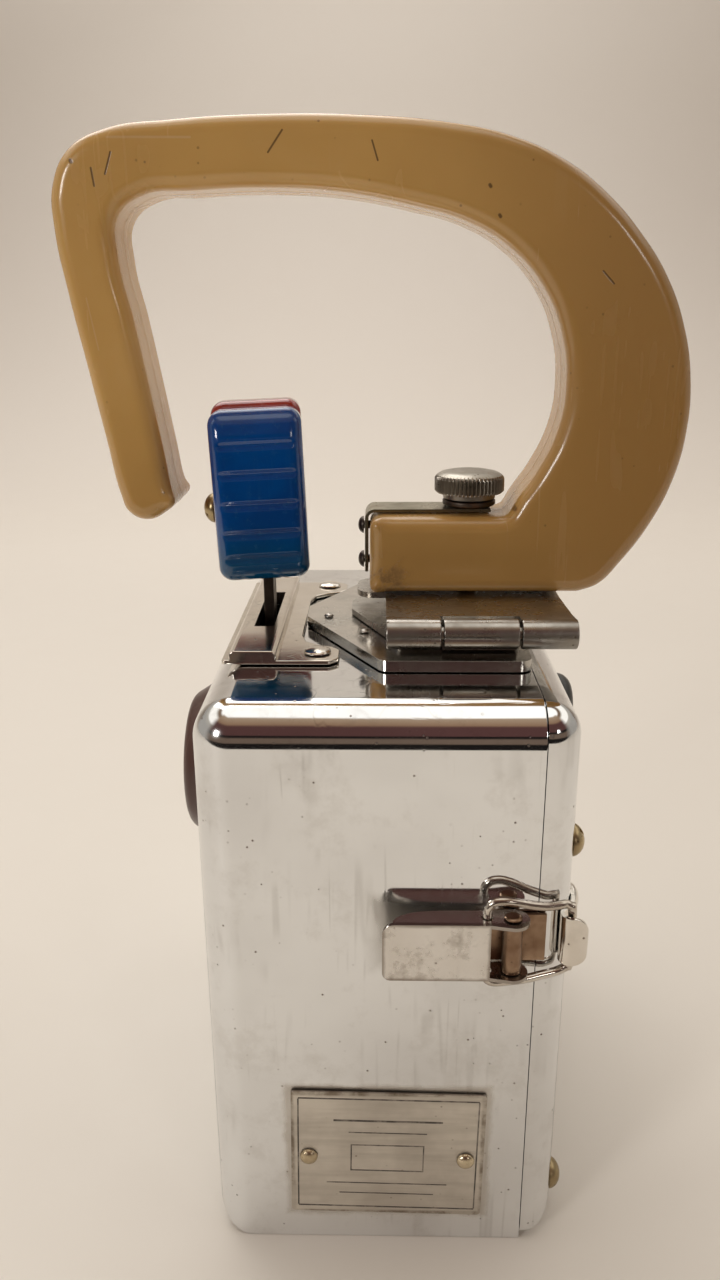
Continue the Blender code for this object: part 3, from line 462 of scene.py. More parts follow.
    def finish(self, colour=None, rough=None, normal=None, **inputs):
        if colour is not None:
            self.feed(self.shader.inputs["Base Color"], colour)
        if rough is not None:
            self.feed(self.shader.inputs["Roughness"], rough)
        if normal is not None:
            self.feed(self.shader.inputs["Normal"], normal)
        for key, value in inputs.items():
            self.feed(self.shader.inputs[key.replace("_", " ")], value)
        return self.mat


def scratches(g, scale=150.0, count=3, amount=1.0, threshold=0.035):
    """Fine crossing scratches: thin bands of stretched noise in a few directions."""
    total = None
    for k in range(count):
        vector = g.place(scale=(1, 1, 0.035), turn=(0.4 + 1.3 * k, 0.7 * k, 1.1 * k), shift=(0.3 * k, 0, 0))
        n = g.noise(scale * (1 + 0.3 * k), 1.0, 0.4, vector)
        line = g.math("ABSOLUTE", g.math("SUBTRACT", n, 0.5))
        line = g.ramp(line, 0.0, threshold, amount, 0.0)
        where = g.ramp(g.noise(34 + 9 * k, 2, 0.6), 0.52, 0.7)
        line = g.math("MULTIPLY", line, where)
        total = line if total is None else g.math("MAXIMUM", total, line)
    return total


def pits(g, scale, size, spread=0.55):
    """Small dark spots, present only in part of the cells."""
    d = g.cells(scale)
    dots = g.ramp(d, size * 0.4, size, 1.0, 0.0)
    return g.math("MULTIPLY", dots, g.ramp(g.noise(scale * 0.31, 2, 0.6), spread, spread + 0.12))


def chrome(name, tint=(0.85, 0.87, 0.885), low=(0.74, 0.75, 0.76), rough=(0.035, 0.11), wave=0.00035, halo=False, mottle_and_edge_shade=0.0):
    g = Graph(name)
    cloud = g.noise(16, 4, 0.6)
    fine = g.noise(210, 3, 0.6)
    colour = g.mix(g.ramp(cloud, 0.35, 0.7), tint, low)
    spots = g.math("MAXIMUM", pits(g, 420, 0.16, 0.5), pits(g, 160, 0.10, 0.56))
    lines = scratches(g, 130, 3, 0.8)
    colour = g.mix(g.math("MULTIPLY", spots, 0.75), colour, (0.16, 0.11, 0.07))
    dull = g.math("MULTIPLY", g.ramp(g.noise(75, 5, 0.72), 0.5, 0.66), 0.16 + mottle_and_edge_shade)
    colour = g.mix(dull, colour, (0.40, 0.36, 0.31))
    colour = g.mix(g.math("MULTIPLY", lines, 0.30), colour, (0.36, 0.34, 0.31))
    smear = g.ramp(g.noise(30, 3, 0.7, g.place((1.0, 1.0, 0.4))), 0.5, 0.8)
    value = g.math("ADD", g.ramp(cloud, 0.3, 0.75, rough[0], rough[1]), g.math("MULTIPLY", lines, 0.10))
    value = g.math("ADD", value, g.math("ADD", g.math("MULTIPLY", smear, 0.05), g.math("MULTIPLY", dull, 0.3)))
    value = g.math("ADD", value, g.math("MULTIPLY", spots, 0.35))
    value = g.math("ADD", value, g.ramp(fine, 0.4, 0.7, 0.0, 0.02))
    if halo:
        x, y, z = g.parts()
        u = g.math("SUBTRACT", g.math("ABSOLUTE", g.math("SUBTRACT", x, 0.00075)), 0.0226)
        v = g.math("SUBTRACT", g.math("ABSOLUTE", g.math("SUBTRACT", z, 0.0259)), 0.0179)
        wobble = g.math("MULTIPLY", g.math("SUBTRACT", g.noise(190, 3, 0.6), 0.5), 0.0022)
        out = g.math("ADD", g.math("MAXIMUM", u, v), wobble)
        near = g.math("MULTIPLY", g.ramp(out, 0.0002, 0.0019, 1.0, 0.0), g.ramp(y, -0.0585, -0.0598))
        colour = g.mix(g.math("MULTIPLY", near, 0.55), colour, (0.48, 0.43, 0.36))
        value = g.math("ADD", value, g.math("MULTIPLY", near, 0.28))
        drip = g.math("MULTIPLY", g.ramp(g.noise(60, 3, 0.7, g.place((1, 1, 0.15))), 0.58, 0.8), g.ramp(z, 0.02, 0.0, 0.0, 1.0))
        colour = g.mix(g.math("MULTIPLY", drip, 0.35), colour, (0.42, 0.33, 0.24))
        # the same dullness round the latch
        u = g.math("SUBTRACT", g.math("ABSOLUTE", g.math("SUBTRACT", x, 0.0106)), 0.0112)
        v = g.math("SUBTRACT", g.math("ABSOLUTE", g.math("SUBTRACT", z, 0.0852)), 0.00675)
        out = g.math("ADD", g.math("MAXIMUM", u, v), g.math("MULTIPLY", wobble, 1.4))
        near = g.math("MULTIPLY", g.ramp(out, -0.0003, 0.0042, 1.0, 0.0), g.ramp(y, -0.0585, -0.0598))
        colour = g.mix(g.math("MULTIPLY", near, 0.5), colour, (0.40, 0.375, 0.34))
        value = g.math("ADD", value, g.math("MULTIPLY", near, 0.22))
    if mottle_and_edge_shade:
        x, y, z = g.parts()
        u = g.math("SUBTRACT", g.math("ABSOLUTE", g.math("SUBTRACT", x, 0.0106)), 0.0112)
        v = g.math("SUBTRACT", g.math("ABSOLUTE", g.math("SUBTRACT", z, 0.0852)), 0.00675)
        wobble = g.math("MULTIPLY", g.math("SUBTRACT", g.noise(260, 3, 0.6), 0.5), 0.0009)
        # painted shadow lines, partly also grime, along the edges of the latch lever's front plate
        edge = g.ramp(g.math("ADD", g.math("MAXIMUM", u, v), wobble), -0.0009, -0.0001, 0.0, 1.0)
        edge = g.math("MULTIPLY", edge, g.ramp(y, -0.0655, -0.0662))
        colour = g.mix(g.math("MULTIPLY", edge, 0.7), colour, (0.22, 0.18, 0.145))
    heights = g.math("ADD", g.noise(28, 2, 0.5), g.math("MULTIPLY", g.noise(90, 2, 0.5), 0.12))
    normal = g.bump(heights, 0.35, wave)
    normal = g.bump(g.math("SUBTRACT", g.math("MULTIPLY", fine, 0.15), g.math("ADD", spots, lines)), 0.25, 0.00005, normal)
    return g.finish(colour, value, normal, Metallic=1.0)


def steel(name, tint=(0.50, 0.47, 0.42), low=(0.30, 0.27, 0.23), rough=(0.22, 0.42), grain=(1, 1, 1), rust=0.3, grain_scale=420):
    g = Graph(name)
    cloud = g.noise(60, 4, 0.65)
    fine = g.noise(grain_scale, 3, 0.6, g.place(grain))
    colour = g.mix(g.ramp(cloud, 0.3, 0.72), tint, low)
    colour = g.mix(g.ramp(fine, 0.45, 0.75, 0.0, 0.35), colour, low)
    brown = g.math("MULTIPLY", g.ramp(g.noise(110, 5, 0.7), 0.56, 0.72), rust)
    colour = g.mix(brown, colour, (0.20, 0.105, 0.05))
    spots = pits(g, 520, 0.2, 0.48)
    colour = g.mix(g.math("MULTIPLY", spots, 0.8), colour, (0.10, 0.065, 0.04))
    value = g.math("ADD", g.ramp(cloud, 0.3, 0.75, rough[0], rough[1]), g.math("MULTIPLY", g.math("ADD", brown, spots), 0.3))
    lines = scratches(g, 200, 2, 0.7)
    value = g.math("ADD", value, g.math("MULTIPLY", lines, 0.1))
    height = g.math("SUBTRACT", g.math("MULTIPLY", fine, 0.6), g.math("ADD", g.math("MULTIPLY", spots, 0.8), lines))
    normal = g.bump(height, 0.35, 0.00006)
    return g.finish(colour, value, normal, Metallic=1.0)


def plastic(name, tint, low, rough=(0.16, 0.30), coat=0.3, grain=260, wear=(0.5, 0.5, 0.5), wear_amount=0.2, inner=0.0):
    g = Graph(name)
    cloud = g.noise(24, 4, 0.6)
    fine = g.noise(grain, 3, 0.6)
    colour = g.mix(g.ramp(cloud, 0.32, 0.7), tint, low)
    lines = scratches(g, 170, 3, 1.0)
    colour = g.mix(g.math("MULTIPLY", lines, wear_amount), colour, wear)
    value = g.math("ADD", g.ramp(cloud, 0.3, 0.75, rough[0], rough[1]), g.math("MULTIPLY", lines, 0.15))
    value = g.math("ADD", value, g.ramp(fine, 0.45, 0.75, 0.0, 0.05))
    height = g.math("SUBTRACT", g.math("MULTIPLY", fine, 0.5), lines)
    normal = g.bump(height, 0.22, 0.00005)
    normal = g.bump(g.noise(45, 2, 0.5), 0.2, 0.0002, normal)
    return g.finish(colour, value, normal, Coat_Weight=coat, Coat_Roughness=0.08)


# ---------------------------------------------------------------- materials
CHROME_CASE = chrome("chrome_case", halo=True)
CHROME_COVER = chrome("chrome_cover", (0.83, 0.845, 0.855), (0.71, 0.715, 0.72))
CHROME_SMALL = chrome("chrome_small", (0.82, 0.79, 0.74), (0.64, 0.58, 0.50), (0.07, 0.18), 0.0002)
CHROME_LEVER = chrome("chrome_latch", (0.86, 0.85, 0.83), (0.60, 0.555, 0.50), (0.12, 0.34), 0.0003, mottle_and_edge_shade=0.5)
CHROME_INNER = chrome("chrome_reflector", (0.88, 0.87, 0.85), (0.80, 0.78, 0.74), (0.04, 0.10), 0.0002)
STEEL_BASE = steel("steel_base_plate", (0.66, 0.64, 0.60), (0.46, 0.44, 0.40), (0.14, 0.30), (1, 1, 0.12), 0.12, 520)
STEEL_HINGE = steel("steel_hinge", (0.56, 0.54, 0.50), (0.30, 0.28, 0.25), (0.20, 0.40), (1, 1, 1), 0.14, 380)
STEEL_STRAP = steel("steel_strap", (0.38, 0.35, 0.26), (0.21, 0.19, 0.13), (0.24, 0.40), (0.1, 1, 1), 0.3, 420)
STEEL_KNURL = steel("steel_thumb_screw", (0.42, 0.39, 0.34), (0.24, 0.21, 0.17), (0.26, 0.46), (1, 1, 1), 0.35, 500)
STEEL_WIRE = steel("steel_wire", (0.70, 0.66, 0.60), (0.42, 0.36, 0.30), (0.14, 0.30), (1, 1, 1), 0.3, 600)
STEEL_LATCH = steel("steel_latch", (0.36, 0.25, 0.17), (0.17, 0.095, 0.055), (0.24, 0.44), (1, 1, 1), 0.9, 420)
STEEL_INNER = steel("steel_inner", (0.52, 0.50, 0.46), (0.38, 0.36, 0.32), (0.24, 0.38), (1, 1, 1), 0.2, 420)
DARK = steel("darkened_steel", (0.12, 0.10, 0.085), (0.05, 0.04, 0.034), (0.30, 0.5), (1, 1, 1), 0.5, 450)
BRASS = steel("brass", (0.52, 0.41, 0.23), (0.30, 0.23, 0.13), (0.22, 0.42), (1, 1, 1), 0.2, 480)
BRASS_PALE = steel("brass_pale", (0.70, 0.61, 0.44), (0.46, 0.37, 0.24), (0.20, 0.36), (1, 1, 1), 0.15, 480)
BLACK = plastic("black_moulding", (0.018, 0.018, 0.019), (0.035, 0.034, 0.034), (0.22, 0.42), 0.2, 300, (0.25, 0.24, 0.23), 0.25)
BOARD = plastic("black_board", (0.035, 0.03, 0.026), (0.055, 0.045, 0.036), (0.45, 0.6), 0.0, 500, (0.3, 0.27, 0.22), 0.3)
BROWN = plastic("bezel_brown", (0.050, 0.016, 0.011), (0.085, 0.028, 0.018), (0.28, 0.44), 0.1, 320, (0.20, 0.12, 0.09), 0.35)


def handle_material():
    g = Graph("handle_moulding")
    x, y, z = g.parts()
    cloud = g.noise(13, 4, 0.6)
    swirl = g.noise(30, 5, 0.65, g.place((1, 1, 1)), 0.8)
    fine = g.noise(330, 3, 0.65)
    colour = g.mix(g.ramp(cloud, 0.3, 0.72), (0.70, 0.43, 0.142), (0.61, 0.36, 0.110))
    colour = g.mix(g.ramp(swirl, 0.5, 0.8, 0.0, 0.35), colour, (0.70, 0.45, 0.18))
    # painted shade, partly also dirt: the moulding darker towards the foot and towards the right-hand arm
    low = g.ramp(z, 0.205, 0.155, 0.0, 0.45)
    right = g.ramp(x, -0.01, 0.064, 0.0, 0.9)
    colour = g.mix(g.math("MAXIMUM", low, right), colour, (0.38, 0.21, 0.065))
    specks = pits(g, 330, 0.13, 0.5)
    colour = g.mix(g.math("MULTIPLY", specks, 0.6), colour, (0.13, 0.07, 0.03))
    marks = None
    for a, b, w in (
        ((-66.9, 241.6), (-66.7, 241.3), 0.55), ((-62.6, 240.1), (-62.2, 236.6), 0.30),
        ((-58.2, 243.1), (-59.7, 238.9), 0.30), ((-21.8, 247.0), (-24.9, 242.8), 0.28),
        ((-3.0, 244.9), (-1.8, 241.1), 0.26), ((21.9, 236.2), (22.1, 235.9), 0.5),
        ((24.2, 230.3), (24.4, 230.0), 0.5), ((27.7, 171.9), (30.3, 166.8), 0.9),
        ((-54.0, 200.5), (-53.4, 198.8), 0.3), ((47.0, 219.0), (49.5, 216.4), 0.28),
    ):
        one = g.stroke(a, b, w)
        marks = one if marks is None else g.math("MAXIMUM", marks, one)
    front = g.ramp(y, -0.0060, -0.0100)
    marks = g.math("MULTIPLY", marks, front)
    colour = g.mix(g.math("MULTIPLY", marks, 0.8), colour, (0.085, 0.045, 0.02))
    pale = None
    for a, b, w in (((-58.8, 246.0), (-41.2, 245.8), 0.35), ((38.5, 204.7), (40.4, 191.8), 0.22), ((-66.0, 214.0), (-64.2, 203.0), 0.2)):
        one = g.stroke(a, b, w, 0.8)
        pale = one if pale is None else g.math("MAXIMUM", pale, one)
    pale = g.math("MULTIPLY", pale, front)
    colour = g.mix(g.math("MULTIPLY", pale, 0.35), colour, (0.75, 0.56, 0.36))
    stain = g.math("MULTIPLY", g.near((0, -11, 150), 9, 0.9, (1, 0.2, 1)), g.ramp(g.noise(170, 4, 0.7), 0.42, 0.62))
    colour = g.mix(g.math("MULTIPLY", stain, 0.65), colour, (0.12, 0.06, 0.025))
    lines = scratches(g, 150, 3, 1.0)
    colour = g.mix(g.math("MULTIPLY", lines, 0.05), colour, (0.72, 0.52, 0.32))
    rough = g.math("ADD", g.ramp(cloud, 0.3, 0.75, 0.17, 0.28), g.math("MULTIPLY", lines, 0.10))
    rough = g.math("ADD", rough, g.math("MULTIPLY", stain, 0.3))
    height = g.math("SUBTRACT", g.math("MULTIPLY", fine, 0.35), g.math("ADD", g.math("MULTIPLY", marks, 2.0), g.math("MULTIPLY", lines, 0.3)))
    normal = g.bump(height, 0.25, 0.00007)
    normal = g.bump(g.noise(38, 2, 0.5), 0.3, 0.00045, normal)
    return g.finish(
        colour, rough, normal, Coat_Weight=0.35, Coat_Roughness=0.07, Subsurface_Weight=0.06, Subsurface_Scale=0.002
    )


def knob_material(name, tint, low, deep, haze):
    g = Graph(name)
    x, y, z = g.parts()
    cloud = g.noise(70, 4, 0.6)
    colour = g.mix(g.ramp(cloud, 0.3, 0.7), tint, low)
    # painted shade: each knob half darker towards its foot
    colour = g.mix(g.ramp(z, 0.166, 0.151, 0.0, 0.75), colour, deep)
    lines = scratches(g, 260, 3, 1.0)
    colour = g.mix(g.math("MULTIPLY", lines, 0.03), colour, haze)
    dust = g.ramp(g.noise(420, 3, 0.7), 0.56, 0.72, 0.0, 0.12)
    colour = g.mix(dust, colour, haze)
    rough = g.math("ADD", g.ramp(cloud, 0.3, 0.7, 0.08, 0.18), g.math("MULTIPLY", lines, 0.06))
    normal = g.bump(g.math("SUBTRACT", g.math("MULTIPLY", g.noise(300, 2), 0.4), g.math("MULTIPLY", lines, 0.25)), 0.2, 0.00005)
    normal = g.bump(g.noise(120, 2), 0.22, 0.00012, normal)
    return g.finish(
        colour, rough, normal, Coat_Weight=0.5, Coat_Roughness=0.05, Subsurface_Weight=0.25,
        Subsurface_Scale=0.004, IOR=1.5,
    )


def rubber_material():
    g = Graph("rubber")
    cloud = g.noise(90, 4, 0.6)
    colour = g.mix(g.ramp(cloud, 0.3, 0.7), (0.025, 0.024, 0.023), (0.05, 0.047, 0.043))
    dust = g.ramp(g.noise(500, 3, 0.7), 0.55, 0.75, 0.0, 0.35)
    colour = g.mix(dust, colour, (0.14, 0.13, 0.115))
    normal = g.bump(g.noise(700, 3), 0.4, 0.0001)
    return g.finish(colour, g.ramp(cloud, 0.3, 0.7, 0.62, 0.85), normal)


def glass_material(name, tint, deep, rough=0.02):
    g = Graph(name)
    dust = g.ramp(g.noise(260, 4, 0.7), 0.52, 0.8)
    colour = g.mix(g.ramp(g.noise(40, 3), 0.3, 0.7), tint, deep)
    value = g.ramp(dust, 0.0, 1.0, rough, rough + 0.14)
    normal = g.bump(g.noise(70, 2), 0.1, 0.0002)
    return g.finish(colour, value, normal, Transmission_Weight=0.9, IOR=1.5)


def plate_material():
    g = Graph("plate_aluminium")
    x, y, z = g.parts()
    cloud = g.noise(55, 4, 0.6)
    grain = g.noise(500, 3, 0.6, g.place((0.08, 1, 1)))
    colour = g.mix(g.ramp(cloud, 0.3, 0.7), (0.70, 0.66, 0.59), (0.56, 0.52, 0.46))
    colour = g.mix(g.ramp(grain, 0.42, 0.7, 0.0, 0.25), colour, (0.36, 0.33, 0.28))
    u = g.math("SUBTRACT", g.math("ABSOLUTE", g.math("SUBTRACT", x, 0.00075)), 0.0215)
    v = g.math("SUBTRACT", g.math("ABSOLUTE", g.math("SUBTRACT", z, 0.0259)), 0.0168)
    rim = g.ramp(g.math("MAXIMUM", u, v), -0.0004, 0.0003)
    grime = g.math("MULTIPLY", rim, g.ramp(g.noise(150, 4, 0.7), 0.4, 0.65, 0.2, 0.85))
    colour = g.mix(grime, colour, (0.20, 0.155, 0.11))
    spots = pits(g, 480, 0.16, 0.5)
    colour = g.mix(g.math("MULTIPLY", spots, 0.6), colour, (0.16, 0.12, 0.08))
    rough = g.math("ADD", g.ramp(cloud, 0.3, 0.7, 0.36, 0.52), g.math("MULTIPLY", grime, 0.2))
    normal = g.bump(g.math("SUBTRACT", grain, g.math("MULTIPLY", spots, 0.8)), 0.25, 0.00004)
    return g.finish(colour, rough, normal, Metallic=0.85)


def ink_material():
    g = Graph("plate_ink")
    cloud = g.noise(240, 4, 0.7)
    colour = g.mix(g.ramp(cloud, 0.45, 0.7), (0.07, 0.06, 0.052), (0.30, 0.27, 0.23))
    return g.finish(colour, g.ramp(cloud, 0.3, 0.7, 0.45, 0.65), g.bump(g.noise(600, 2), 0.2, 0.00003))


def cell_material():
    g = Graph("cell_jacket")
    x, y, z = g.parts()
    cloud = g.noise(60, 4, 0.6)
    jacket = g.mix(g.ramp(cloud, 0.3, 0.7), (0.20, 0.21, 0.22), (0.26, 0.27, 0.28))
    band = g.math("MULTIPLY", g.ramp(z, 0.0515, 0.0518), g.ramp(z, 0.0612, 0.0609, 0.0, 1.0))
    jacket = g.mix(band, jacket, (0.45, 0.32, 0.10))
    caps = g.math("MAXIMUM", g.ramp(z, 0.0652, 0.0654), g.ramp(z, 0.0068, 0.0066, 0.0, 1.0))
    colour = g.mix(caps, jacket, (0.62, 0.60, 0.56))
    lines = scratches(g, 200, 2, 1.0)
    colour = g.mix(g.math("MULTIPLY", lines, 0.3), colour, (0.55, 0.54, 0.52))
    normal = g.bump(g.math("SUBTRACT", g.math("MULTIPLY", g.noise(400, 3), 0.4), lines), 0.2, 0.00005)
    return g.finish(colour, g.ramp(cloud, 0.3, 0.7, 0.28, 0.42), normal, Metallic=caps)


HANDLE_MAT = handle_material()
BLUE = knob_material("blue_moulding", (0.001, 0.080, 0.34), (0.001, 0.058, 0.26), (0.004, 0.080, 0.150), (0.08, 0.24, 0.40))
RED = knob_material("red_moulding", (0.42, 0.035, 0.035), (0.30, 0.020, 0.022), (0.22, 0.015, 0.018), (0.60, 0.34, 0.30))
RUBBER = rubber_material()
GLASS = glass_material("lens_glass", (0.90, 0.92, 0.90), (0.84, 0.87, 0.85), 0.015)
RED_GLASS = glass_material("red_filter", (0.55, 0.015, 0.02), (0.42, 0.01, 0.015), 0.05)
BLUE_GLASS = glass_material("blue_filter", (0.02, 0.12, 0.50), (0.015, 0.08, 0.38), 0.05)
PLATE = plate_material()
INK = ink_material()
CELL = cell_material()


# ---------------------------------------------------------------- case and cover
def pan(name, low, high, open_side, rounding, segments):
    """A drawn pan, open at one X face; the edges along X at its foot stay square."""
    bm = bmesh.new()
    bmesh.ops.create_cube(bm, size=1.0)
    bmesh.ops.scale(bm, vec=[(b - a) * MM for a, b in zip(low, high)], verts=bm.verts)
    rim = [f for f in bm.faces if f.normal.x * open_side > 0.9]
    rim_edges = set(rim[0].edges)
    bmesh.ops.delete(bm, geom=rim, context="FACES_ONLY")

    def square(edge):
        d = edge.verts[1].co - edge.verts[0].co
        return abs(d.x) > 0.9 * d.length and max(v.co.z for v in edge.verts) < 0

    chosen = [e for e in bm.edges if e not in rim_edges and not square(e)]
    bmesh.ops.bevel(
        bm, geom=chosen, offset=rounding * MM, offset_type="OFFSET", segments=segments, profile=0.5,
        affect="EDGES", clamp_overlap=False,
    )
    bmesh.ops.recalc_face_normals(bm, faces=bm.faces)
    if sum(f.normal.dot(f.calc_center_median()) for f in bm.faces) < 0:
        bmesh.ops.reverse_faces(bm, faces=bm.faces)
    bmesh.ops.translate(bm, vec=[(a + b) / 2 * MM for a, b in zip(low, high)], verts=bm.verts)
    mesh = bpy.data.meshes.new(name)
    bm.to_mesh(mesh)
    bm.free()
    obj = add(name, mesh)
    mod = obj.modifiers.new("sheet_thickness", "SOLIDIFY")
    mod.thickness = SHEET * MM
    mod.offset = -1.0
    mod.use_even_offset = True
    return obj


case = pan("case", (CASE_FRONT, -HALF_W, 0.0), (SEAM_X, HALF_W, CASE_H), +1, EDGE_R, 16)
cut(
    case,
    rod("cut_lens", (CASE_FRONT, 0, LENS_Z), "X", APERTURE_R, 8, 96, True),
    block("cut_slot", (-32.9, -18, 130), (-25.3, 18, 142), True),
)
ease(case, 0.22, 2, 60)
piece(case, "case_shell", CHROME_CASE, 30)

cover = pan("cover", (SEAM_X + GAP - 0.18, -HALF_W, COVER_BOTTOM), (REAR_X, HALF_W, CASE_H), -1, COVER_R, 16)
cut(
    cover,
    rod("cut_switch", (REAR_X, 0, SWITCH_Z), "X", 3.4, 12, 48, True),
    rod("cut_screw_a", (REAR_X, -49.6, 102.2), "X", 1.8, 8, 32, True),
    rod("cut_screw_b", (REAR_X, -49.6, 9.7), "X", 1.8, 8, 32, True),
)
ease(cover, 0.22, 2, 60)
piece(cover, "rear_cover", CHROME_COVER, 30)

frame_out = rounded([(-57.2, 4.6), (57.2, 4.6), (57.2, 134.0), (-57.2, 134.0)], 6.0, 10)
frame_in = rounded([(-56.4, 5.4), (56.4, 5.4), (56.4, 133.2), (-56.4, 133.2)], 5.2, 10)
piece(ease(sheet("frame", [frame_out, frame_in], "YZ", 32.0, 7.6), 0.15, 2), "cover_frame", STEEL_INNER)
seal_out = rounded([(-58.3, 3.95), (58.3, 3.95), (58.3, 134.7), (-58.3, 134.7)], 6.4, 10)
seal_in = rounded([(-57.5, 4.3), (57.5, 4.3), (57.5, 134.3), (-57.5, 134.3)], 6.2, 10)
piece(ease(sheet("seal", [seal_out, seal_in], "YZ", 33.0, 4.0), 0.1, 2), "cover_gasket", RUBBER)


# ---------------------------------------------------------------- rivets and screws
def dome(r, h, steps=9):
    return [(r * math.sin(math.radians(a)), h * math.cos(math.radians(a))) for a in np.linspace(0, 90, steps)]


def rivet(node, point, axis, head_r, head_h, shank_r, shank_len, mat, slot_turn=None, slot_w=0.8, slot_d=0.9):
    """A domed head with its shank; slot_turn is the driver slot's angle about the axis, in degrees."""
    profile = dome(head_r, head_h) + [(shank_r, 0.0), (shank_r, -shank_len), (0.0, -shank_len)]
    obj = turned(node + "_raw", profile, point, axis, 56)
    if slot_turn is not None:
        bar = block("cut_slot", (-head_r - 1, -slot_w / 2, head_h - slot_d), (head_r + 1, slot_w / 2, head_h + 1), True)
        spin = Matrix.Rotation(math.radians(slot_turn), 4, "Z")
        bar.data.transform(Matrix.Translation([c * MM for c in point]) @ TURN[axis].to_matrix().to_4x4() @ spin)
        cut(obj, bar)
        ease(obj, 0.12, 2, 50)
    return piece(obj, node, mat, 40)


for label, y in (("near", -27.6), ("far", 29.6)):
    rivet("guide_rivet_" + label, (-15.4, y, 137.6), "Z", 3.1, 0.8, 1.1, 3.0, CHROME_SMALL)
for label, x, y in (("front", -13.9, -5.0), ("side_near", -4.8, -17.6), ("side_far", -4.8, 17.6)):
    rivet("base_rivet_" + label, (x, y, 139.1), "Z", 1.2, 0.6, 0.7, 3.8, STEEL_HINGE)
for label, z, turn in (("upper", 161.1, 35), ("lower", 152.5, -20)):
    rivet("strap_screw_" + label, (-5.2, 0.0, z), "-X", 2.1, 1.4, 1.0, 6.0, DARK, turn, 0.55, 0.6)
rivet("knob_screw", (-41.7, 0, 165.3), "-X", 3.65, 2.7, 1.6, 9.0, BRASS, 62, 0.95, 1.3)
for label, x, z in (("front", -17.4, 25.4), ("rear", 18.8, 24.6)):
    rivet("plate_rivet_" + label, (x, -61.1, z), "-Y", 2.05, 1.2, 0.9, 2.6, BRASS_PALE)
for label, z, turn in (("upper", 102.2, 20), ("lower", 9.7, -48)):
    rivet("cover_screw_" + label, (REAR_X + GAP, -49.6, z), "X", 3.7, 2.9, 1.4, 9.0, BRASS, turn, 0.95, 1.3)

# ---------------------------------------------------------------- guide plate
ear = [(-12.4, 33.3), (-10.4, 31.2), (-10.4, 25.6), (-12.2, 23.4), (-15.6, 22.0), (-18.5, 19.6), (-19.7, 15.0)]
corners = [(-36.6, -33.3)] + [(x, -y) for x, y in ear] + list(reversed(ear)) + [(-36.6, 33.3)]
guide = sheet("guide", [rounded(corners, [0.8] + [1.0, 1.2, 1.4, 1.4, 2.0, 2.0, 2.2] + [2.2, 2.0, 2.0, 1.4, 1.4, 1.2, 1.0] + [0.8], 4)], "XY", 136.8, 1.0)
guide = settle(ease(guide, 0.3, 3, 50))
channel = sheet(
    "channel",
    [rounded([(-35.0, 136.5), (-24.2, 136.5), (-24.2, 139.5), (-35.0, 139.5)], [0, 0, 2.0, 2.0], 8)],
    "XZ", 0.0, 66.6,
)
channel = settle(ease(channel, 0.4, 3, 60))
SCRATCH.append(channel)
join(guide, channel)
cut(
    guide,
    block("cut_guide_slot", (LEVER_X - SLOT_W / 2, -SLOT_HALF, 134), (LEVER_X + SLOT_W / 2, SLOT_HALF, 142), True),
    rod("cut_a", (-15.4, -27.6, 136), "Z", 1.4, 8, 24, True),
    rod("cut_b", (-15.4, 29.6, 136), "Z", 1.4, 8, 24, True),
)
piece(guide, "guide_plate", CHROME_SMALL, 32)

# ---------------------------------------------------------------- base plate and hinge
base = sheet(
    "base",
    [rounded([(32.2, -37.6), (-0.8, -37.6), (-19.3, -4.4), (-19.3, 4.4), (-0.8, 37.6), (32.2, 37.6)], [3, 3, 2, 2, 3, 3], 10)],
    "XY", 137.55, 2.5,
)
for x, y in ((-13.9, -5.0), (-4.8, -17.6), (-4.8, 17.6)):
    cut(base, rod("cut_rivet", (x, y, 136), "Z", 1.0, 9, 24, True))
ease(base, 0.45, 4, 50)
piece(base, "base_plate", STEEL_BASE, 32)

PIN_BORE = (21.3, HINGE_Y, HINGE_Z)


def bores():
    return (
        rod("cut_pin", PIN_BORE, "X", PIN_R + 0.25, 60, 40, True),
        rod("cut_thumb", (THUMB_X, 0, 155), "Z", 2.7, 60, 48, True),
    )


lower = sheet(
    "lower",
    [rounded([(30, -29), (3, -29), (0, -22), (-8.2, -3.5), (-8.2, 3.5), (0, 22), (30, 22)], 1.2, 5)],
    "XY", 139.8, 1.4,
)
join(
    lower,
    block("lower_web", (12.8, -31.4, 139.3), (29.2, -28.5, 142.4), True),
    rod("lower_knuckle", (21.0, HINGE_Y, HINGE_Z), "X", BARREL_R, 16.4, 72, True, 0.3),
)
cut(lower, *bores())
ease(lower, 0.2, 2, 50)
piece(lower, "hinge_leaf_lower", STEEL_HINGE, 32)

side = [(HINGE_Y, 147.0), (-28.0, 146.4), (-11.6, 145.65), (10.8, 145.6), (10.8, 144.2), (-29.2, 144.2), (HINGE_Y, 144.2)]
upper = sheet("upper", [side], "YZ", 21.0, 41.6)
join(
    upper,
    rod("barrel_front", (6.2, HINGE_Y, HINGE_Z), "X", BARREL_R, 12.0, 72, True, 0.35),
    rod("barrel_rear", (35.9, HINGE_Y, HINGE_Z), "X", BARREL_R, 12.2, 72, True, 0.35),
    sheet("tongue", [rounded([(6, -7), (-6.8, -7), (-6.8, 7), (6, 7)], [0, 4.5, 4.5, 0], 10)], "XY", 144.9, 1.4, True),
)
cut(upper, block("cut_knuckle_room", (12.2, -38, 139), (29.8, -29.6, 150), True), *bores())
ease(upper, 0.16, 2, 50)
piece(upper, "hinge_leaf_upper", STEEL_HINGE, 32)
piece(rod("pin", (21.1, HINGE_Y, HINGE_Z), "X", PIN_R, 41.8, 48, False, 0.3), "handle_hinge_pin", STEEL_HINGE, 40)

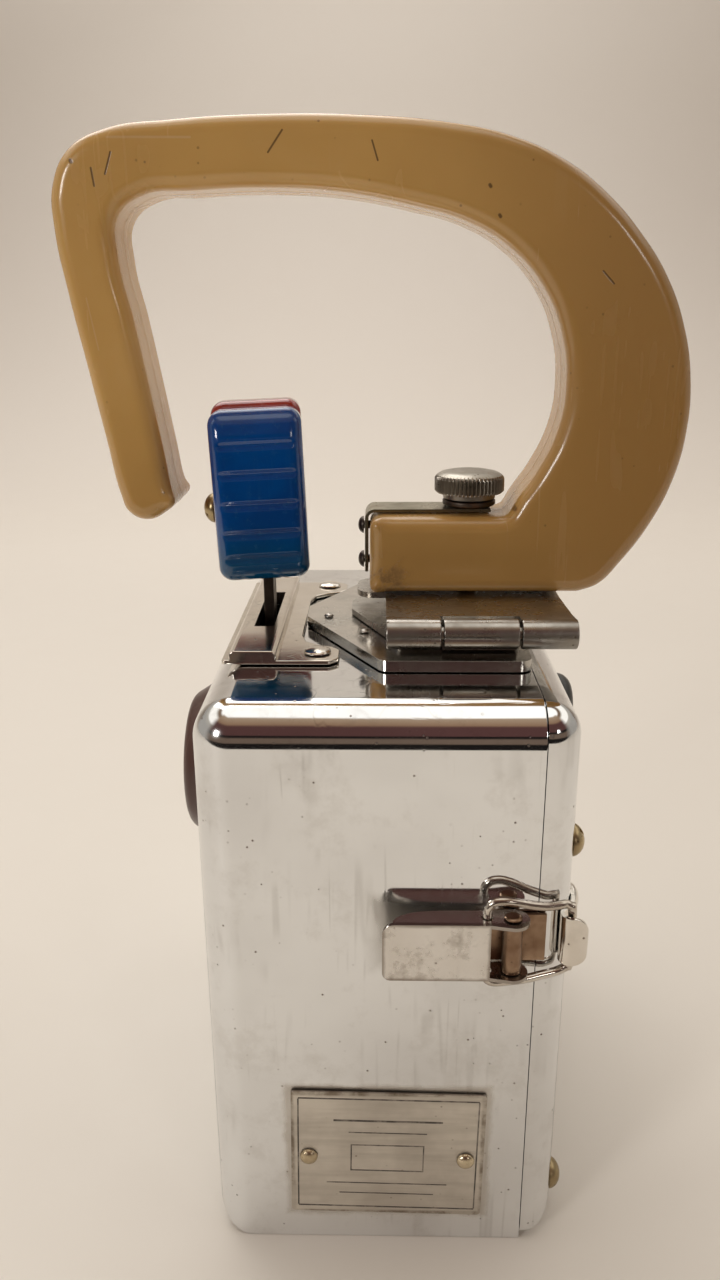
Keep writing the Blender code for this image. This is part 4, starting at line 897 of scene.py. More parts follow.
# ---------------------------------------------------------------- handle
hook = [
    (-3.8, FOOT_Z + 0.9), (-2.9, FOOT_Z), (46.5, FOOT_Z), (51.4, 148.1), (56.2, 153.4), (62.4, 162.5),
    (67.1, 173.2), (69.3, 184.9), (69.0, 196.5), (66.5, 207.5), (61.8, 218.0), (55.5, 226.7),
    (48.1, 234.3), (39.0, 240.9), (26.7, 246.1), (11.8, 249.0), (-6.0, 250.4), (-26.0, 250.7),
    (-46.0, 249.8), (-59.8, 248.2), (-68.1, 244.2), (-72.2, 236.9), (-72.6, 228.1), (-70.8, 214.8),
    (-67.9, 198.7), (-65.0, 182.5), (-62.6, 169.5), (-61.2, 166.0), (-56.8, 163.9), (-51.8, 166.0),
    (-49.4, 168.6), (-50.2, 171.0), (-51.6, 179.9), (-53.7, 192.9), (-56.5, 209.5), (-58.9, 222.4),
    (-58.4, 230.4), (-52.7, 234.8), (-42.0, 235.7), (-26.0, 236.2), (-10.0, 235.3), (5.5, 232.5),
    (17.3, 229.3), (27.0, 223.9), (34.8, 215.6), (39.4, 205.5), (40.9, 194.4), (39.6, 184.6),
    (35.6, 175.6), (30.6, 168.0), (28.9, FOOT_TOP), (-1.8, FOOT_TOP), (-3.2, FOOT_TOP - 0.6),
    (-3.8, FOOT_TOP - 2.0),
]
SHARP_AT = (0, 1, 2) + tuple(range(len(hook) - 4, len(hook)))


def flowing_outline(points, sharp, detail=24):
    """The same flowing curve as the solid's outline, sampled finely, in millimetres."""
    curve = bpy.data.curves.new("flow", "CURVE")
    curve.dimensions = "2D"
    curve.fill_mode = "NONE"
    curve.resolution_u = detail
    spline = curve.splines.new("BEZIER")
    spline.bezier_points.add(len(points) - 1)
    for i, (knot, (x, y)) in enumerate(zip(spline.bezier_points, points)):
        knot.co = (x, y, 0.0)
        knot.handle_left_type = knot.handle_right_type = "VECTOR" if i in sharp else "AUTO"
    spline.use_cyclic_u = True
    obj = bpy.data.objects.new("flow", curve)
    scene.collection.objects.link(obj)
    bpy.context.view_layer.update()
    graph = bpy.context.evaluated_depsgraph_get()
    mesh = bpy.data.meshes.new_from_object(obj.evaluated_get(graph))
    out = np.array([v.co[:2] for v in mesh.vertices])
    bpy.data.objects.remove(obj, do_unlink=True)
    return out


def respaced(points, step):
    """The closed outline with points an equal distance apart."""
    closed = np.vstack([points, points[:1]])
    length = np.concatenate([[0], np.cumsum(np.linalg.norm(np.diff(closed, axis=0), axis=1))])
    count = int(round(length[-1] / step))
    at = np.linspace(0, length[-1], count, endpoint=False)
    return np.stack([np.interp(at, length, closed[:, 0]), np.interp(at, length, closed[:, 1])], 1)


def inward(points):
    ahead, back = np.roll(points, -1, 0), np.roll(points, 1, 0)
    tangent = ahead - back
    tangent /= np.linalg.norm(tangent, axis=1)[:, None]
    normal = np.stack([-tangent[:, 1], tangent[:, 0]], 1)
    area = np.sum(points[:, 0] * ahead[:, 1] - ahead[:, 0] * points[:, 1])
    return normal if area > 0 else -normal


def handle_mesh():
    line = respaced(flowing_outline(hook, SHARP_AT), 0.7)
    corners = [np.array(hook[i]) for i in (0, 1, -4, -3, -2, -1)]
    near = np.min([np.linalg.norm(line - c, axis=1) for c in corners], axis=0)
    weight = np.clip(1.3 - near / 2.4, 0, 1)[:, None]
    for _ in range(4):
        line = line + weight * 0.5 * ((np.roll(line, 1, 0) + np.roll(line, -1, 0)) / 2 - line)
    line = respaced(line, 0.7)
    normal = inward(line)
    # how far in each point may go before it comes nearer to another part of the outline
    deep = np.full(len(line), 0.2)
    for d in np.arange(0.2, HANDLE_EDGE + 0.01, 0.1):
        spot = line + normal * d
        gap = np.min(np.linalg.norm(spot[:, None, :] - line[None, :, :], axis=2), axis=1)
        fine = (gap > d - 0.06) & (deep > d - 0.15)
        deep[fine] = d
    for _ in range(12):
        deep = np.minimum(deep, (np.roll(deep, 1) + np.roll(deep, -1)) / 2 + 0.02)
    for _ in range(8):
        deep = np.minimum(deep, 0.5 * deep + 0.25 * (np.roll(deep, 1) + np.roll(deep, -1)))
    # no step of the innermost loop may fold back over the one before it
    step = np.roll(line, -1, 0) - line
    for _ in range(80):
        spot = line + normal * (deep + 0.1)[:, None]
        moved = np.roll(spot, -1, 0) - spot
        folded = np.sum(moved * step, axis=1) < 0.12 * np.sum(step * step, axis=1)
        if not folded.any():
            break
        tight = folded | np.roll(folded, 1) | np.roll(folded, -1) | np.roll(folded, 2)
        deep[tight] = np.maximum(0.05, deep[tight] * 0.9)
        deep = np.minimum(deep, (np.roll(deep, 1) + np.roll(deep, -1)) / 2 + 0.03)
    half = HANDLE_W / 2
    skin = 0.1
    rings = []
    angles = np.radians(np.linspace(90, 0, 10))
    for a in angles:
        inset = skin + deep * (1 - np.cos(a))
        rings.append((inset, -(half - deep + deep * np.sin(a))))
    for y, inset in ((-5.0, skin), (-0.42, skin), (-0.2, 0.04), (0.2, 0.04), (0.42, skin), (5.0, skin)):
        rings.append((np.full(len(line), inset), np.full(len(line), y)))
    for a in angles[::-1]:
        inset = skin + deep * (1 - np.cos(a))
        rings.append((inset, half - deep + deep * np.sin(a)))
    n = len(line)
    verts, faces = [], []
    for inset, y in rings:
        spot = line + normal * inset[:, None]
        verts += [(p[0], yy, p[1]) for p, yy in zip(spot, y)]
    for k in range(len(rings) - 1):
        for i in range(n):
            j = (i + 1) % n
            faces.append((k * n + i, k * n + j, (k + 1) * n + j, (k + 1) * n + i))
    faces.append(tuple(range(n)))
    faces.append(tuple(reversed(range((len(rings) - 1) * n, len(rings) * n))))
    mesh = mesh_from("handle", verts, faces)
    bm = bmesh.new()
    bm.from_mesh(mesh)
    caps = [f for f in bm.faces if len(f.verts) > 4]
    bmesh.ops.triangulate(bm, faces=caps, ngon_method="EAR_CLIP")
    bm.to_mesh(mesh)
    bm.free()
    return mesh


handle = add("handle_raw", handle_mesh())
cut(
    handle,
    rod("cut_thumb", (THUMB_X, 0, 155), "Z", 2.7, 60, 48, True),
    rod("cut_strap_a", (-4.0, 0.0, 161.1), "X", 1.3, 16.4, 24, True),
    rod("cut_strap_b", (-4.0, 0.0, 152.5), "X", 1.3, 16.4, 24, True),
)
piece(handle, "handle", HANDLE_MAT, 50)

strap = sheet(
    "strap",
    [rounded([(-4.9, 150.3), (-4.9, 165.8), (25.4, 165.8), (25.4, 165.0), (-4.1, 165.0), (-4.1, 150.3)], [0.3, 2.4, 0.3, 0.3, 1.7, 0.3], 10)],
    "XZ", 0.0, 9.6,
)
cut(
    strap,
    rod("cut_thumb", (THUMB_X, 0, 155), "Z", 2.7, 60, 48, True),
    rod("cut_strap_a", (-4.0, 0.0, 161.1), "X", 1.3, 16.4, 24, True),
    rod("cut_strap_b", (-4.0, 0.0, 152.5), "X", 1.3, 16.4, 24, True),
)
ease(strap, 0.16, 2, 50)
piece(strap, "handle_strap", STEEL_STRAP, 35)

washer = turned(
    "washer",
    [(5.9, 167.6), (6.25, 167.45), (6.4, 167.2), (6.4, 166.5), (6.25, 166.25), (5.9, 166.1), (2.7, 166.1), (2.7, 167.6)],
    (THUMB_X, 0, 0), "Z", 72,
)
piece(washer, "thumb_washer", DARK, 40)

TEETH = 52
LEVELS = [
    (0.0, 174.5, 0), (3.0, 174.45, 0), (5.4, 174.25, 0), (6.9, 173.9, 0), (7.8, 173.4, 0), (8.2, 173.0, 0.45),
    (8.4, 172.6, 0.75), (8.4, 169.7, 0.75), (8.2, 169.45, 0.4), (7.9, 169.2, 0), (6.3, 169.2, 0), (6.3, 167.9, 0),
    (2.2, 167.9, 0), (2.2, 140.4, 0), (1.4, 139.8, 0), (0.0, 139.8, 0),
]


def knurl(angle, level):
    return -LEVELS[level][2] * (0.5 - 0.5 * math.cos(TEETH * angle)) ** 0.8


piece(
    turned("thumb", [(r, z) for r, z, _ in LEVELS], (THUMB_X, 0, 0), "Z", TEETH * 8, False, knurl),
    "thumb_screw", STEEL_KNURL, 38,
)

# ---------------------------------------------------------------- colour lever
arm = [(-3.2, 186.0), (-3.2, 128.0)] + arc((0, PIVOT_Z), 5.4, 150, 390, 30) + [(3.2, 128.0), (3.2, 186.0)]
arm = sheet("arm", [list(reversed(arm))], "YZ", LEVER_X, LEVER_T)
cut(arm, rod("cut_pivot", (-28, 0, PIVOT_Z), "X", 1.8, 24, 40, True))
ease(arm, 0.2, 2, 50)
piece(arm, "lever_arm", DARK, 35)

GROOVES = (155.3, 161.2, 168.1, 175.3, 182.0)


def rounded_box(name, low, high, r, fine_z=0.4, steps=7):
    """A box with rounded edges as an even quad mesh, finely divided in height."""
    mid = [(a + b) / 2 for a, b in zip(low, high)]
    half = [(b - a) / 2 for a, b in zip(low, high)]
    lines = []
    for axis in range(3):
        flat = half[axis] - r
        over = [flat + r * math.tan(math.radians(a)) for a in np.linspace(45, 0, steps)]
        count = max(2, int(round(2 * flat / (fine_z if axis == 2 else 0.9))))
        inner = list(np.linspace(flat, -flat, count + 1))
        lines.append(over[:-1] + inner + [-v for v in reversed(over[:-1])])
    verts, faces = [], []
    for axis in range(3):
        u, v = [k for k in range(3) if k != axis]
        for sign in (1, -1):
            start = len(verts)
            for a in lines[u]:
                for b in lines[v]:
                    p = [0.0, 0.0, 0.0]
                    p[axis], p[u], p[v] = sign * half[axis], a, b
                    q = [max(-(h - r), min(h - r, c)) for c, h in zip(p, half)]
                    d = Vector([c - e for c, e in zip(p, q)])
                    d.normalize()
                    verts.append([mid[k] + q[k] + r * d[k] for k in range(3)])
            rows, cols = len(lines[u]), len(lines[v])
            for i in range(rows - 1):
                for j in range(cols - 1):
                    faces.append(
                        (start + i * cols + j, start + (i + 1) * cols + j, start + (i + 1) * cols + j + 1, start + i * cols + j + 1)
                    )
    return verts, faces


def knob_half(node, low_y, high_y, top, mat, grooved):
    low = (-10.9, low_y, 149.5 - KNOB_AT[1])
    high = (10.9, high_y, top - KNOB_AT[1])
    verts, faces = rounded_box(node, low, high, 3.4)
    if grooved:
        for v in verts:
            for z in GROOVES:
                dz = v[2] - (z - KNOB_AT[1])
                if abs(dz) < 1.3:
                    floor = -12.90 + math.sqrt(max(0.0, 1.69 - dz * dz))
                    share = max(0.0, min(1.0, (10.9 - abs(v[0])) / 2.2))
                    v[1] = max(v[1], floor * share + (-12.0) * (1 - share))
    for v in verts:
        # the outer face falls back in a soft shoulder towards the top, and a little towards the foot
        t = max(0.0, (v[2] - (high[2] - 8.5)) / 8.5)
        b = max(0.0, ((low[2] + 6.0) - v[2]) / 6.0)
        share = max(0.0, min(1.0, abs(v[1]) / 12.0))
        v[1] *= 1.0 - share * (0.22 * t * t + 0.07 * b * b)
    obj = add(node + "_raw", mesh_from(node, verts, faces, 0.004))
    turn = Euler((0.0, math.radians(KNOB_LEAN), math.radians(KNOB_YAW))).to_matrix().to_4x4()
    obj.data.transform(Matrix.Translation((KNOB_AT[0] * MM, 0.0, KNOB_AT[1] * MM)) @ turn)
    cut(
        obj,
        block("cut_blade", (LEVER_X - LEVER_T / 2 - GAP, -3.5, 140), (LEVER_X + LEVER_T / 2 + GAP, 3.5, 186.3), True),
        rod("cut_screw", (-38, 0, 165.3), "X", 1.9, 14, 32, True),
    )
    return piece(obj, node, mat, 48)


knob_half("knob_blue", -12.0, -0.15, 189.7, BLUE, True)
knob_half("knob_red", 0.15, 12.0, 190.8, RED, False)


def fan(inner, outer, middle, half, steps):
    down = -90.0 + middle
    return arc((0, PIVOT_Z), outer, down - half, down + half, steps) + arc(
        (0, PIVOT_Z), inner, down + half, down - half, max(2, steps // 2)
    )


ff = sheet("ff", [fan(5.2, 33.4, 0, 45, 48)] + [fan(14.8, 30.4, a, 12.0, 14) for a in (-30, 0, 30)], "YZ", -26.4, 1.0)
join(ff, rod("hub", (-26.4, 0, PIVOT_Z), "X", 6.4, 1.0, 56, True))
cut(ff, rod("cut_pivot", (-28, 0, PIVOT_Z), "X", 1.8, 24, 40, True))
ease(ff, 0.12, 2, 50)
piece(ff, "filter_frame", CHROME_SMALL, 35)
for label, angle, mat in (("red", -30, RED_GLASS), ("blue", 30, BLUE_GLASS)):
    piece(ease(sheet("pane", [fan(13.9, 31.4, angle, 13.2, 16)], "YZ", -27.7, 1.0), 0.1, 2), "filter_" + label, mat)
piece(
    turned("pin", [(0.0, 8.2), (1.3, 8.2), (1.5, 8.0), (1.5, -2.0), (3.0, -2.0), (3.0, -2.9), (2.7, -3.2), (0.0, -3.2)], (-28.4, 0, PIVOT_Z), "X", 40),
    "lever_pivot_pin", STEEL_INNER, 40,
)
bracket = block("bracket", (-24.6, -9.0, 114.5), (-23.4, 9.0, 134.7))
join(bracket, block("flange", (-24.5, -9.0, 133.5), (-9.0, 9.0, 134.7), True))
cut(bracket, rod("cut_pivot", (-28, 0, PIVOT_Z), "X", 1.8, 24, 40, True))
ease(bracket, 0.2, 2, 50)
piece(bracket, "lever_bracket", STEEL_INNER)

# ---------------------------------------------------------------- lens and lamp
HOOD = CASE_FRONT - GAP
rim = flow([(13.6, 9.5), (14.6, 10.2), (16.1, 10.2), (17.6, 9.2), (19.0, 7.1), (20.6, 4.8), (22.2, 3.6), (23.2, 2.4)], 5)
piece(
    turned("bezel", rim + [(23.2, 0.15), (23.05, 0.0), (19.0, 0.0), (19.0, 4.1), (17.4, 4.3)], (HOOD, 0, LENS_Z), "-X", 128),
    "lens_bezel", BROWN, 40,
)
front = flow([(0.0, 8.0), (5.0, 7.8), (9.0, 7.2), (12.6, 6.2), (15.0, 5.2), (16.6, 4.4)], 5)
piece(
    turned("lens", front + [(16.6, 3.9), (18.7, 3.8), (18.7, 0.4), (0.0, 0.4)], (HOOD, 0, LENS_Z), "-X", 112),
    "lens", GLASS, 40,
)
piece(
    turned("gasket", [(19.2, -0.4), (19.2, -2.6), (15.6, -2.6), (15.6, -0.4)], (HOOD, 0, LENS_Z), "-X", 96),
    "lens_gasket", RUBBER,
)
bulb = flow([(0.0, 5.5), (2.6, 4.85), (4.6, 3.0), (5.5, 0.3), (4.9, -2.6), (3.9, -5.0), (3.7, -7.0)], 4)
piece(turned("bulb", bulb + [(0.0, -7.0)], (-18.8, 0, LENS_Z), "-X", 56), "bulb_glass", GLASS, 60)
piece(
    turned(
        "cap",
        [(0.0, 12.9), (4.2, 12.9), (4.4, 12.8), (4.7, 12.0), (4.7, 10.2), (4.45, 9.8), (4.7, 9.4), (4.7, 7.6), (4.45, 7.2), (4.7, 6.8),
         (4.7, 3.0), (3.0, 2.0), (1.6, 1.6), (1.4, 0.8), (0.0, 0.8)],
        (1.4, 0, LENS_Z), "-X", 48,
    ),
    "bulb_cap", BRASS, 40,
)
piece(
    turned("holder", [(0.0, 1.6), (5.1, 1.6), (5.1, 14.0), (6.2, 14.0), (6.4, 13.7), (6.4, 0.6), (6.2, 0.4), (0.0, 0.4)], (2.6, 0, LENS_Z), "-X", 56),
    "lamp_holder", BRASS, 40,
)
bowl_out = flow([(14.3, 22.6), (12.5, 17.8), (9.8, 14.0), (7.0, 11.6)], 6)
bowl_in = flow([(13.4, 22.6), (11.6, 18.2), (9.2, 14.8), (7.0, 12.6)], 6)
piece(turned("bowl", bowl_out + bowl_in[::-1], (0, 0, LENS_Z), "-X", 80), "reflector", CHROME_INNER, 50)
plate = block("holder_plate_raw", (2.6, -16.0, 71.4), (3.8, 16.0, 112.0))
join(plate, block("foot", (2.6, -16.0, 71.4), (18.0, 16.0, 72.4), True))
ease(plate, 0.2, 2, 50)
piece(plate, "holder_plate", STEEL_INNER)
shelf = sheet("shelf", [rounded([(-38.2, -58.2), (26.0, -58.2), (26.0, 58.2), (-38.2, 58.2)], [7.5, 1, 1, 7.5], 10)], "XY", 70.6, 1.0)
piece(ease(shelf, 0.15, 2, 50), "battery_shelf", BOARD)
for k, (x, y) in enumerate(((-18.2, -17.6), (-18.2, 17.6), (16.6, -17.6), (16.6, 17.6)), 1):
    piece(
        turned(
            "cell",
            [(0.0, 67.4), (4.3, 67.4), (4.6, 67.1), (4.6, 66.0), (15.2, 65.7), (16.0, 65.9), (16.4, 65.6), (17.1, 64.8),
             (17.1, 7.0), (16.4, 6.2), (0.0, 6.2)],
            (x, y, 0), "Z", 64,
        ),
        "battery_cell_%d" % k, CELL, 40,
    )
tray = sheet("tray", [rounded([(-33.2, -37.5), (27.6, -37.5), (27.6, 37.5), (-33.2, 37.5)], 3, 8)], "XY", 3.6, 4.6)
piece(ease(tray, 0.5, 3, 50), "cell_tray", BLACK)

# ---------------------------------------------------------------- nameplate
TILT = Matrix.Translation((0.75 * MM, -60.6 * MM, 25.9 * MM)) @ Matrix.Rotation(math.radians(1.0), 4, "Y")
plate = sheet("plate", [rounded([(-22.25, -17.5), (22.25, -17.5), (22.25, 17.5), (-22.25, 17.5)], 0.9, 6)], "XZ", 0.0, 0.5)
plate.data.transform(TILT)
for x, z in ((-17.4, 25.4), (18.8, 24.6)):
    cut(plate, rod("cut_rivet", (x, -60.5, z), "Y", 1.2, 5, 32, True))
ease(plate, 0.12, 3, 50)
piece(plate, "name_plate", PLATE, 35)


def bar(x0, z0, x1, z1, width=0.28):
    """A thin printed rule on the plate's front, between two points."""
    a, b = Vector((x0, z0)), Vector((x1, z1))
    d = (b - a).normalized()
    n = Vector((-d.y, d.x)) * width / 2
    return [tuple(a - n), tuple(b - n), tuple(b + n), tuple(a + n)]


def rules():
    bars = [
        bar(-20.6, 15.7, 20.6, 15.7, 0.34), bar(-20.6, -15.7, 20.6, -15.7, 0.34),
        bar(-20.6, -15.5, -20.6, 15.5, 0.34), bar(20.6, -15.5, 20.6, 15.5, 0.34),
        bar(-12.5, 9.6, 12.5, 9.6, 0.5), bar(-9.0, 6.2, 9.0, 6.2, 0.26),
        bar(-8.5, 2.6, 8.5, 2.6, 0.3), bar(-8.5, -4.8, 8.5, -4.8, 0.3),
        bar(-8.35, -4.65, -8.35, 2.45, 0.3), bar(8.35, -4.65, 8.35, 2.45, 0.3),
        bar(-14.0, -8.6, 14.0, -8.6, 0.26), bar(-11.0, -11.6, 11.0, -11.6, 0.26),
    ]
    verts, faces = [], []
    for corners in bars:
        start = len(verts)
        for y in (-0.29, -0.24):
            verts += [(x, y, z) for x, z in corners]
        s = start
        faces += [(s, s + 1, s + 2, s + 3), (s + 7, s + 6, s + 5, s + 4)]
        for k in range(4):
            j = (k + 1) % 4
            faces.append((s + k, s + 4 + k, s + 4 + j, s + j))
    obj = add("rules", mesh_from("rules", verts, faces))
    obj.data.transform(TILT)
    return obj


piece(rules(), "name_plate", INK, 35, own_name="name_plate_rules", stands_for=False)

# ---------------------------------------------------------------- latch
PX, PY = LATCH_PIVOT
LEVER_HALF = 6.75
lb = block("lb", (19.6, -61.1, LATCH_Z - 5.6), (34.0, -60.3, LATCH_Z + 5.6))
join(
    lb,
    block("web", (PX + 1.2, PY, LATCH_Z - 5.5), (PX + 2.1, -60.4, LATCH_Z + 5.5), True),
    rod("barrel", (PX, PY, LATCH_Z), "Z", 2.1, 11.3, 56, True),
)
cut(lb, rod("cut_pin", (PX, PY, LATCH_Z), "Z", 1.3, 14, 32, True))
ease(lb, 0.15, 2, 50)
piece(lb, "latch_base", STEEL_LATCH, 35)
piece(
    turned(
        "pin",
        [(0.0, 7.55), (0.9, 7.53), (1.3, 7.5), (1.75, 7.3), (1.9, 7.1), (1.0, 7.1), (1.0, -7.1), (1.9, -7.1), (1.75, -7.3), (1.3, -7.5), (0.9, -7.53), (0.0, -7.55)],
        (PX, PY, LATCH_Z), "Z", 40,
    ),
    "latch_pivot_pin", STEEL_LATCH, 40,
)
lever = sheet(
    "lever",
    [
        rounded(
            [(-0.6, LATCH_Z - LEVER_HALF), (21.8, LATCH_Z - LEVER_HALF), (21.8, LATCH_Z + LEVER_HALF), (-0.6, LATCH_Z + LEVER_HALF)],
            [1.8, 0, 0, 2.6], 10,
        )
    ],
    "XZ", -66.45, 0.9,
)
flange = (
    [(21.8, -66.85), (1.6, -66.85), (1.6, -65.4), (2.3, -64.2), (3.4, -63.4), (5.2, -62.5), (7.5, -61.9), (12.0, -61.5), (21.8, -61.4)]
    + arc(LATCH_PIVOT, 3.5, 90, -90, 30)
    + [(23.4, -67.2)]
)
for label, z in (("low", LATCH_Z - LEVER_HALF + 0.4), ("high", LATCH_Z + LEVER_HALF - 0.4)):
    join(lever, sheet("flange_" + label, [flange], "XY", z, 0.8, True))
lip = [(-0.6, -66.88), (0.3, -66.88), (0.42, -66.2), (0.5, -65.6), (0.75, -65.0), (0.9, -64.6), (0.2, -64.2), (-0.15, -64.8), (-0.3, -65.3), (-0.5, -66.1)]
join(lever, sheet("lip", [lip], "XY", LATCH_Z - 0.4, 8.4, True))
cut(
    lever,
    rod("cut_lever_pin", (PX, PY, LATCH_Z), "Z", 1.35, 20, 32, True),
    rod("cut_bail_holes", (*BAIL_AT, LATCH_Z), "Z", WIRE_R + 0.32, 20, 32, True),
)
ease(lever, 0.3, 3, 50)
piece(lever, "latch_lever", CHROME_LEVER, 35)

leaf_in, leaf_t, hook_in = COVER_R + GAP, 0.9, 1.6
near_corner = (REAR_X - COVER_R, COVER_R - HALF_W)
far_corner = (REAR_X - COVER_R, HALF_W - COVER_R)
turn = math.radians(KEEPER_TURN)
reach = leaf_in + leaf_t + hook_in
HOOK = (near_corner[0] + reach * math.cos(turn), near_corner[1] - reach * math.sin(turn))
hook_out = hook_in + leaf_t
keeper_side = (
    [(REAR_X + GAP, -38.0), (REAR_X + GAP + leaf_t, -38.0)]
    + arc(near_corner, leaf_in + leaf_t, 0, -KEEPER_TURN, 20)
    + arc(HOOK, hook_in, 180 - KEEPER_TURN, 270, 20)[1:]
    + [(42.2, HOOK[1] - hook_in + 0.2), (42.55, HOOK[1] - hook_in - 0.2), (42.6, HOOK[1] - hook_out + 0.5), (42.35, HOOK[1] - hook_out + 0.15), (41.8, HOOK[1] - hook_out + 0.05)]
    + arc(HOOK, hook_out, 270, 180 - KEEPER_TURN, 24)
    + arc(near_corner, leaf_in, -KEEPER_TURN, 0, 20)[1:]
)
keeper_half = 5.7
keeper = sheet("keeper", [keeper_side], "XY", LATCH_Z, 2 * keeper_half)
join(
    keeper,
    turned(
        "boss", [(0.0, 2.1), (0.9, 2.05), (1.6, 1.9), (2.4, 1.55), (2.9, 1.2), (3.25, 0.8), (3.4, 0.3), (3.4, -0.3), (0.0, -0.3)],
        (REAR_X + GAP + leaf_t, -47.4, LATCH_Z + 1.0), "X", 48, True,
    ),
)
for sign in (1, -1):
    z, r = LATCH_Z + sign * keeper_half, 3.2
    corner = (
        [(42.6 - r, z)]
        + [(42.6 - r + r * math.sin(math.radians(a)), z - sign * r * (1 - math.cos(math.radians(a)))) for a in range(9, 91, 9)]
        + [(44.0, z - sign * r), (44.0, z + sign * 1.0), (42.6 - r, z + sign * 1.0)]
    )
    cut(keeper, sheet("cut_corner", [corner], "XZ", HOOK[1] - 2.2, 2.2, True))
ease(keeper, 0.16, 2, 50)
piece(keeper, "latch_keeper", CHROME_SMALL, 35)

x0, y0 = BAIL_AT
hx, hy = HOOK
z = LATCH_Z
over = [
    (x0, y0, z + 5.2), (x0, y0, z + 8.2), (x0 + 0.3, y0, z + 9.3), (x0 + 0.95, y0, z + 10.1), (x0 + 1.9, y0, z + 10.6),
    (x0 + 3.8, y0, z + 10.7), (x0 + 6.4, y0 + 0.4, z + 10.1), (x0 + 9.4, y0 + 1.1, z + 9.1), (x0 + 12.4, y0 + 1.8, z + 8.4),
    (x0 + 15.4, y0 + 2.7, z + 8.2), (hx - 1.5, hy - 0.1, z + 8.0), (hx - 0.6, hy, z + 7.5), (hx, hy, z + 6.3),
]
under = [
    (hx, hy, z - 6.3), (hx - 0.6, hy, z - 7.5), (hx - 1.6, hy - 0.1, z - 8.1), (x0 + 14.9, y0 + 2.6, z - 8.3),
    (x0 + 11.8, y0 + 1.8, z - 8.6), (x0 + 8.6, y0 + 1.0, z - 8.9), (x0 + 4.0, y0 + 0.2, z - 9.0), (x0 + 1.9, y0, z - 9.0),
    (x0 + 0.9, y0, z - 8.7), (x0 + 0.25, y0, z - 8.1), (x0, y0, z - 7.3), (x0, y0, z - 5.2),
]


def tube(name, path, radius, sides=20):
    """A round wire through a list of points, with rounded ends, its rings carried along without twist."""
    pts = [Vector(p) for p in path]
    tangents = []
    for i in range(len(pts)):
        d = pts[min(i + 1, len(pts) - 1)] - pts[max(i - 1, 0)]
        tangents.append(d.normalized())
    across = tangents[0].orthogonal().normalized()
    verts, faces = [], []
    rows = []
    for p, t in zip(pts, tangents):
        across = (across - t * across.dot(t)).normalized()
        rows.append((p, t, across.copy(), radius))
    first, last = rows[0], rows[-1]
    caps_a = [(first[0] - first[1] * 0.0 + first[1] * s, first[1], first[2], radius * w) for s, w in ((0.0, 0.75), (0.12, 0.93))]
    caps_b = [(last[0] - last[1] * s, last[1], last[2], radius * w) for s, w in ((0.12, 0.93), (0.0, 0.75))]
    rows[0] = (first[0] + first[1] * 0.3, *first[1:])
    rows[-1] = (last[0] - last[1] * 0.3, *last[1:])
    rows = caps_a + rows + caps_b
    for p, t, a, r in rows:
        b = t.cross(a)
        for k in range(sides):
            w = 2 * math.pi * k / sides
            verts.append(tuple(p + (a * math.cos(w) + b * math.sin(w)) * r))
    for i in range(len(rows) - 1):
        for k in range(sides):
            j = (k + 1) % sides
            faces.append((i * sides + k, i * sides + j, (i + 1) * sides + j, (i + 1) * sides + k))
    faces.append(tuple(range(sides)))
    faces.append(tuple(reversed(range((len(rows) - 1) * sides, len(rows) * sides))))
    return add(name, mesh_from(name, verts, faces))


piece(tube("bail", flow(over + under, 5), WIRE_R), "latch_bail", STEEL_WIRE, 50)

# ---------------------------------------------------------------- cover hinge, switch
HX, HY = COVER_HINGE
leaf = block("leaf", (15.0, 60.3, 28.0), (32.9, 61.2, 108.0))
for k, (za, zb) in enumerate(((28.0, 54.0), (82.4, 108.0))):
    join(leaf, rod("knuckle", (HX, HY, (za + zb) / 2), "Z", 2.15, zb - za, 48, True, 0.2))
cut(leaf, block("cut_knuckle", (30.4, 59, 53.99), (36, 66, 82.41), True), rod("cut_pin", (HX, HY, 68), "Z", 1.2, 100, 32, True))
ease(leaf, 0.15, 2, 50)
piece(leaf, "case_hinge_leaf", STEEL_INNER, 35)
side = (
    [(33.2, HALF_W + GAP + leaf_t)]
    + arc(far_corner, leaf_in + leaf_t, 84, 0, 20)
    + [(REAR_X + GAP + leaf_t, 41.0), (REAR_X + GAP, 41.0)]
    + arc(far_corner, leaf_in, 0, 90, 20)
)
leaf = sheet("leaf", [side], "XY", 68.2, 27.8)
join(leaf, rod("knuckle", (HX, HY, 68.2), "Z", 2.15, 27.8, 48, True, 0.2))
cut(leaf, rod("cut_pin", (HX, HY, 68), "Z", 1.2, 100, 32, True))
ease(leaf, 0.15, 2, 50)
piece(leaf, "cover_hinge_leaf", STEEL_INNER, 35)
piece(rod("pin", (HX, HY, 68), "Z", 0.95, 80.6, 32, False, 0.2), "cover_hinge_pin", STEEL_INNER, 40)

top = flow([(0.0, 8.1), (4.2, 7.95), (6.2, 7.2), (7.5, 5.6), (7.9, 3.4), (8.0, 0.6)], 5)
knob = turned("switch", top + [(7.8, 0.0), (3.0, 0.0), (3.0, -2.4), (0.0, -2.4)], (REAR_X + GAP, 0, SWITCH_Z), "X", 96)
cut(knob, block("cut_mark", (47.4, -0.7, SWITCH_Z + 1.3), (50.0, 0.7, SWITCH_Z + 7.4), True))
ease(knob, 0.15, 2, 50)
piece(knob, "switch_knob", BLACK, 40)
board = block("board", (36.2, -54.0, 6.6), (37.6, -44.0, 108.0))
cut(
    board,
    rod("cut_screw_a", (REAR_X, -49.6, 102.2), "X", 1.8, 8, 32, True),
    rod("cut_screw_b", (REAR_X, -49.6, 9.7), "X", 1.8, 8, 32, True),
)
ease(board, 0.25, 2, 50)
piece(board, "contact_board", BOARD)
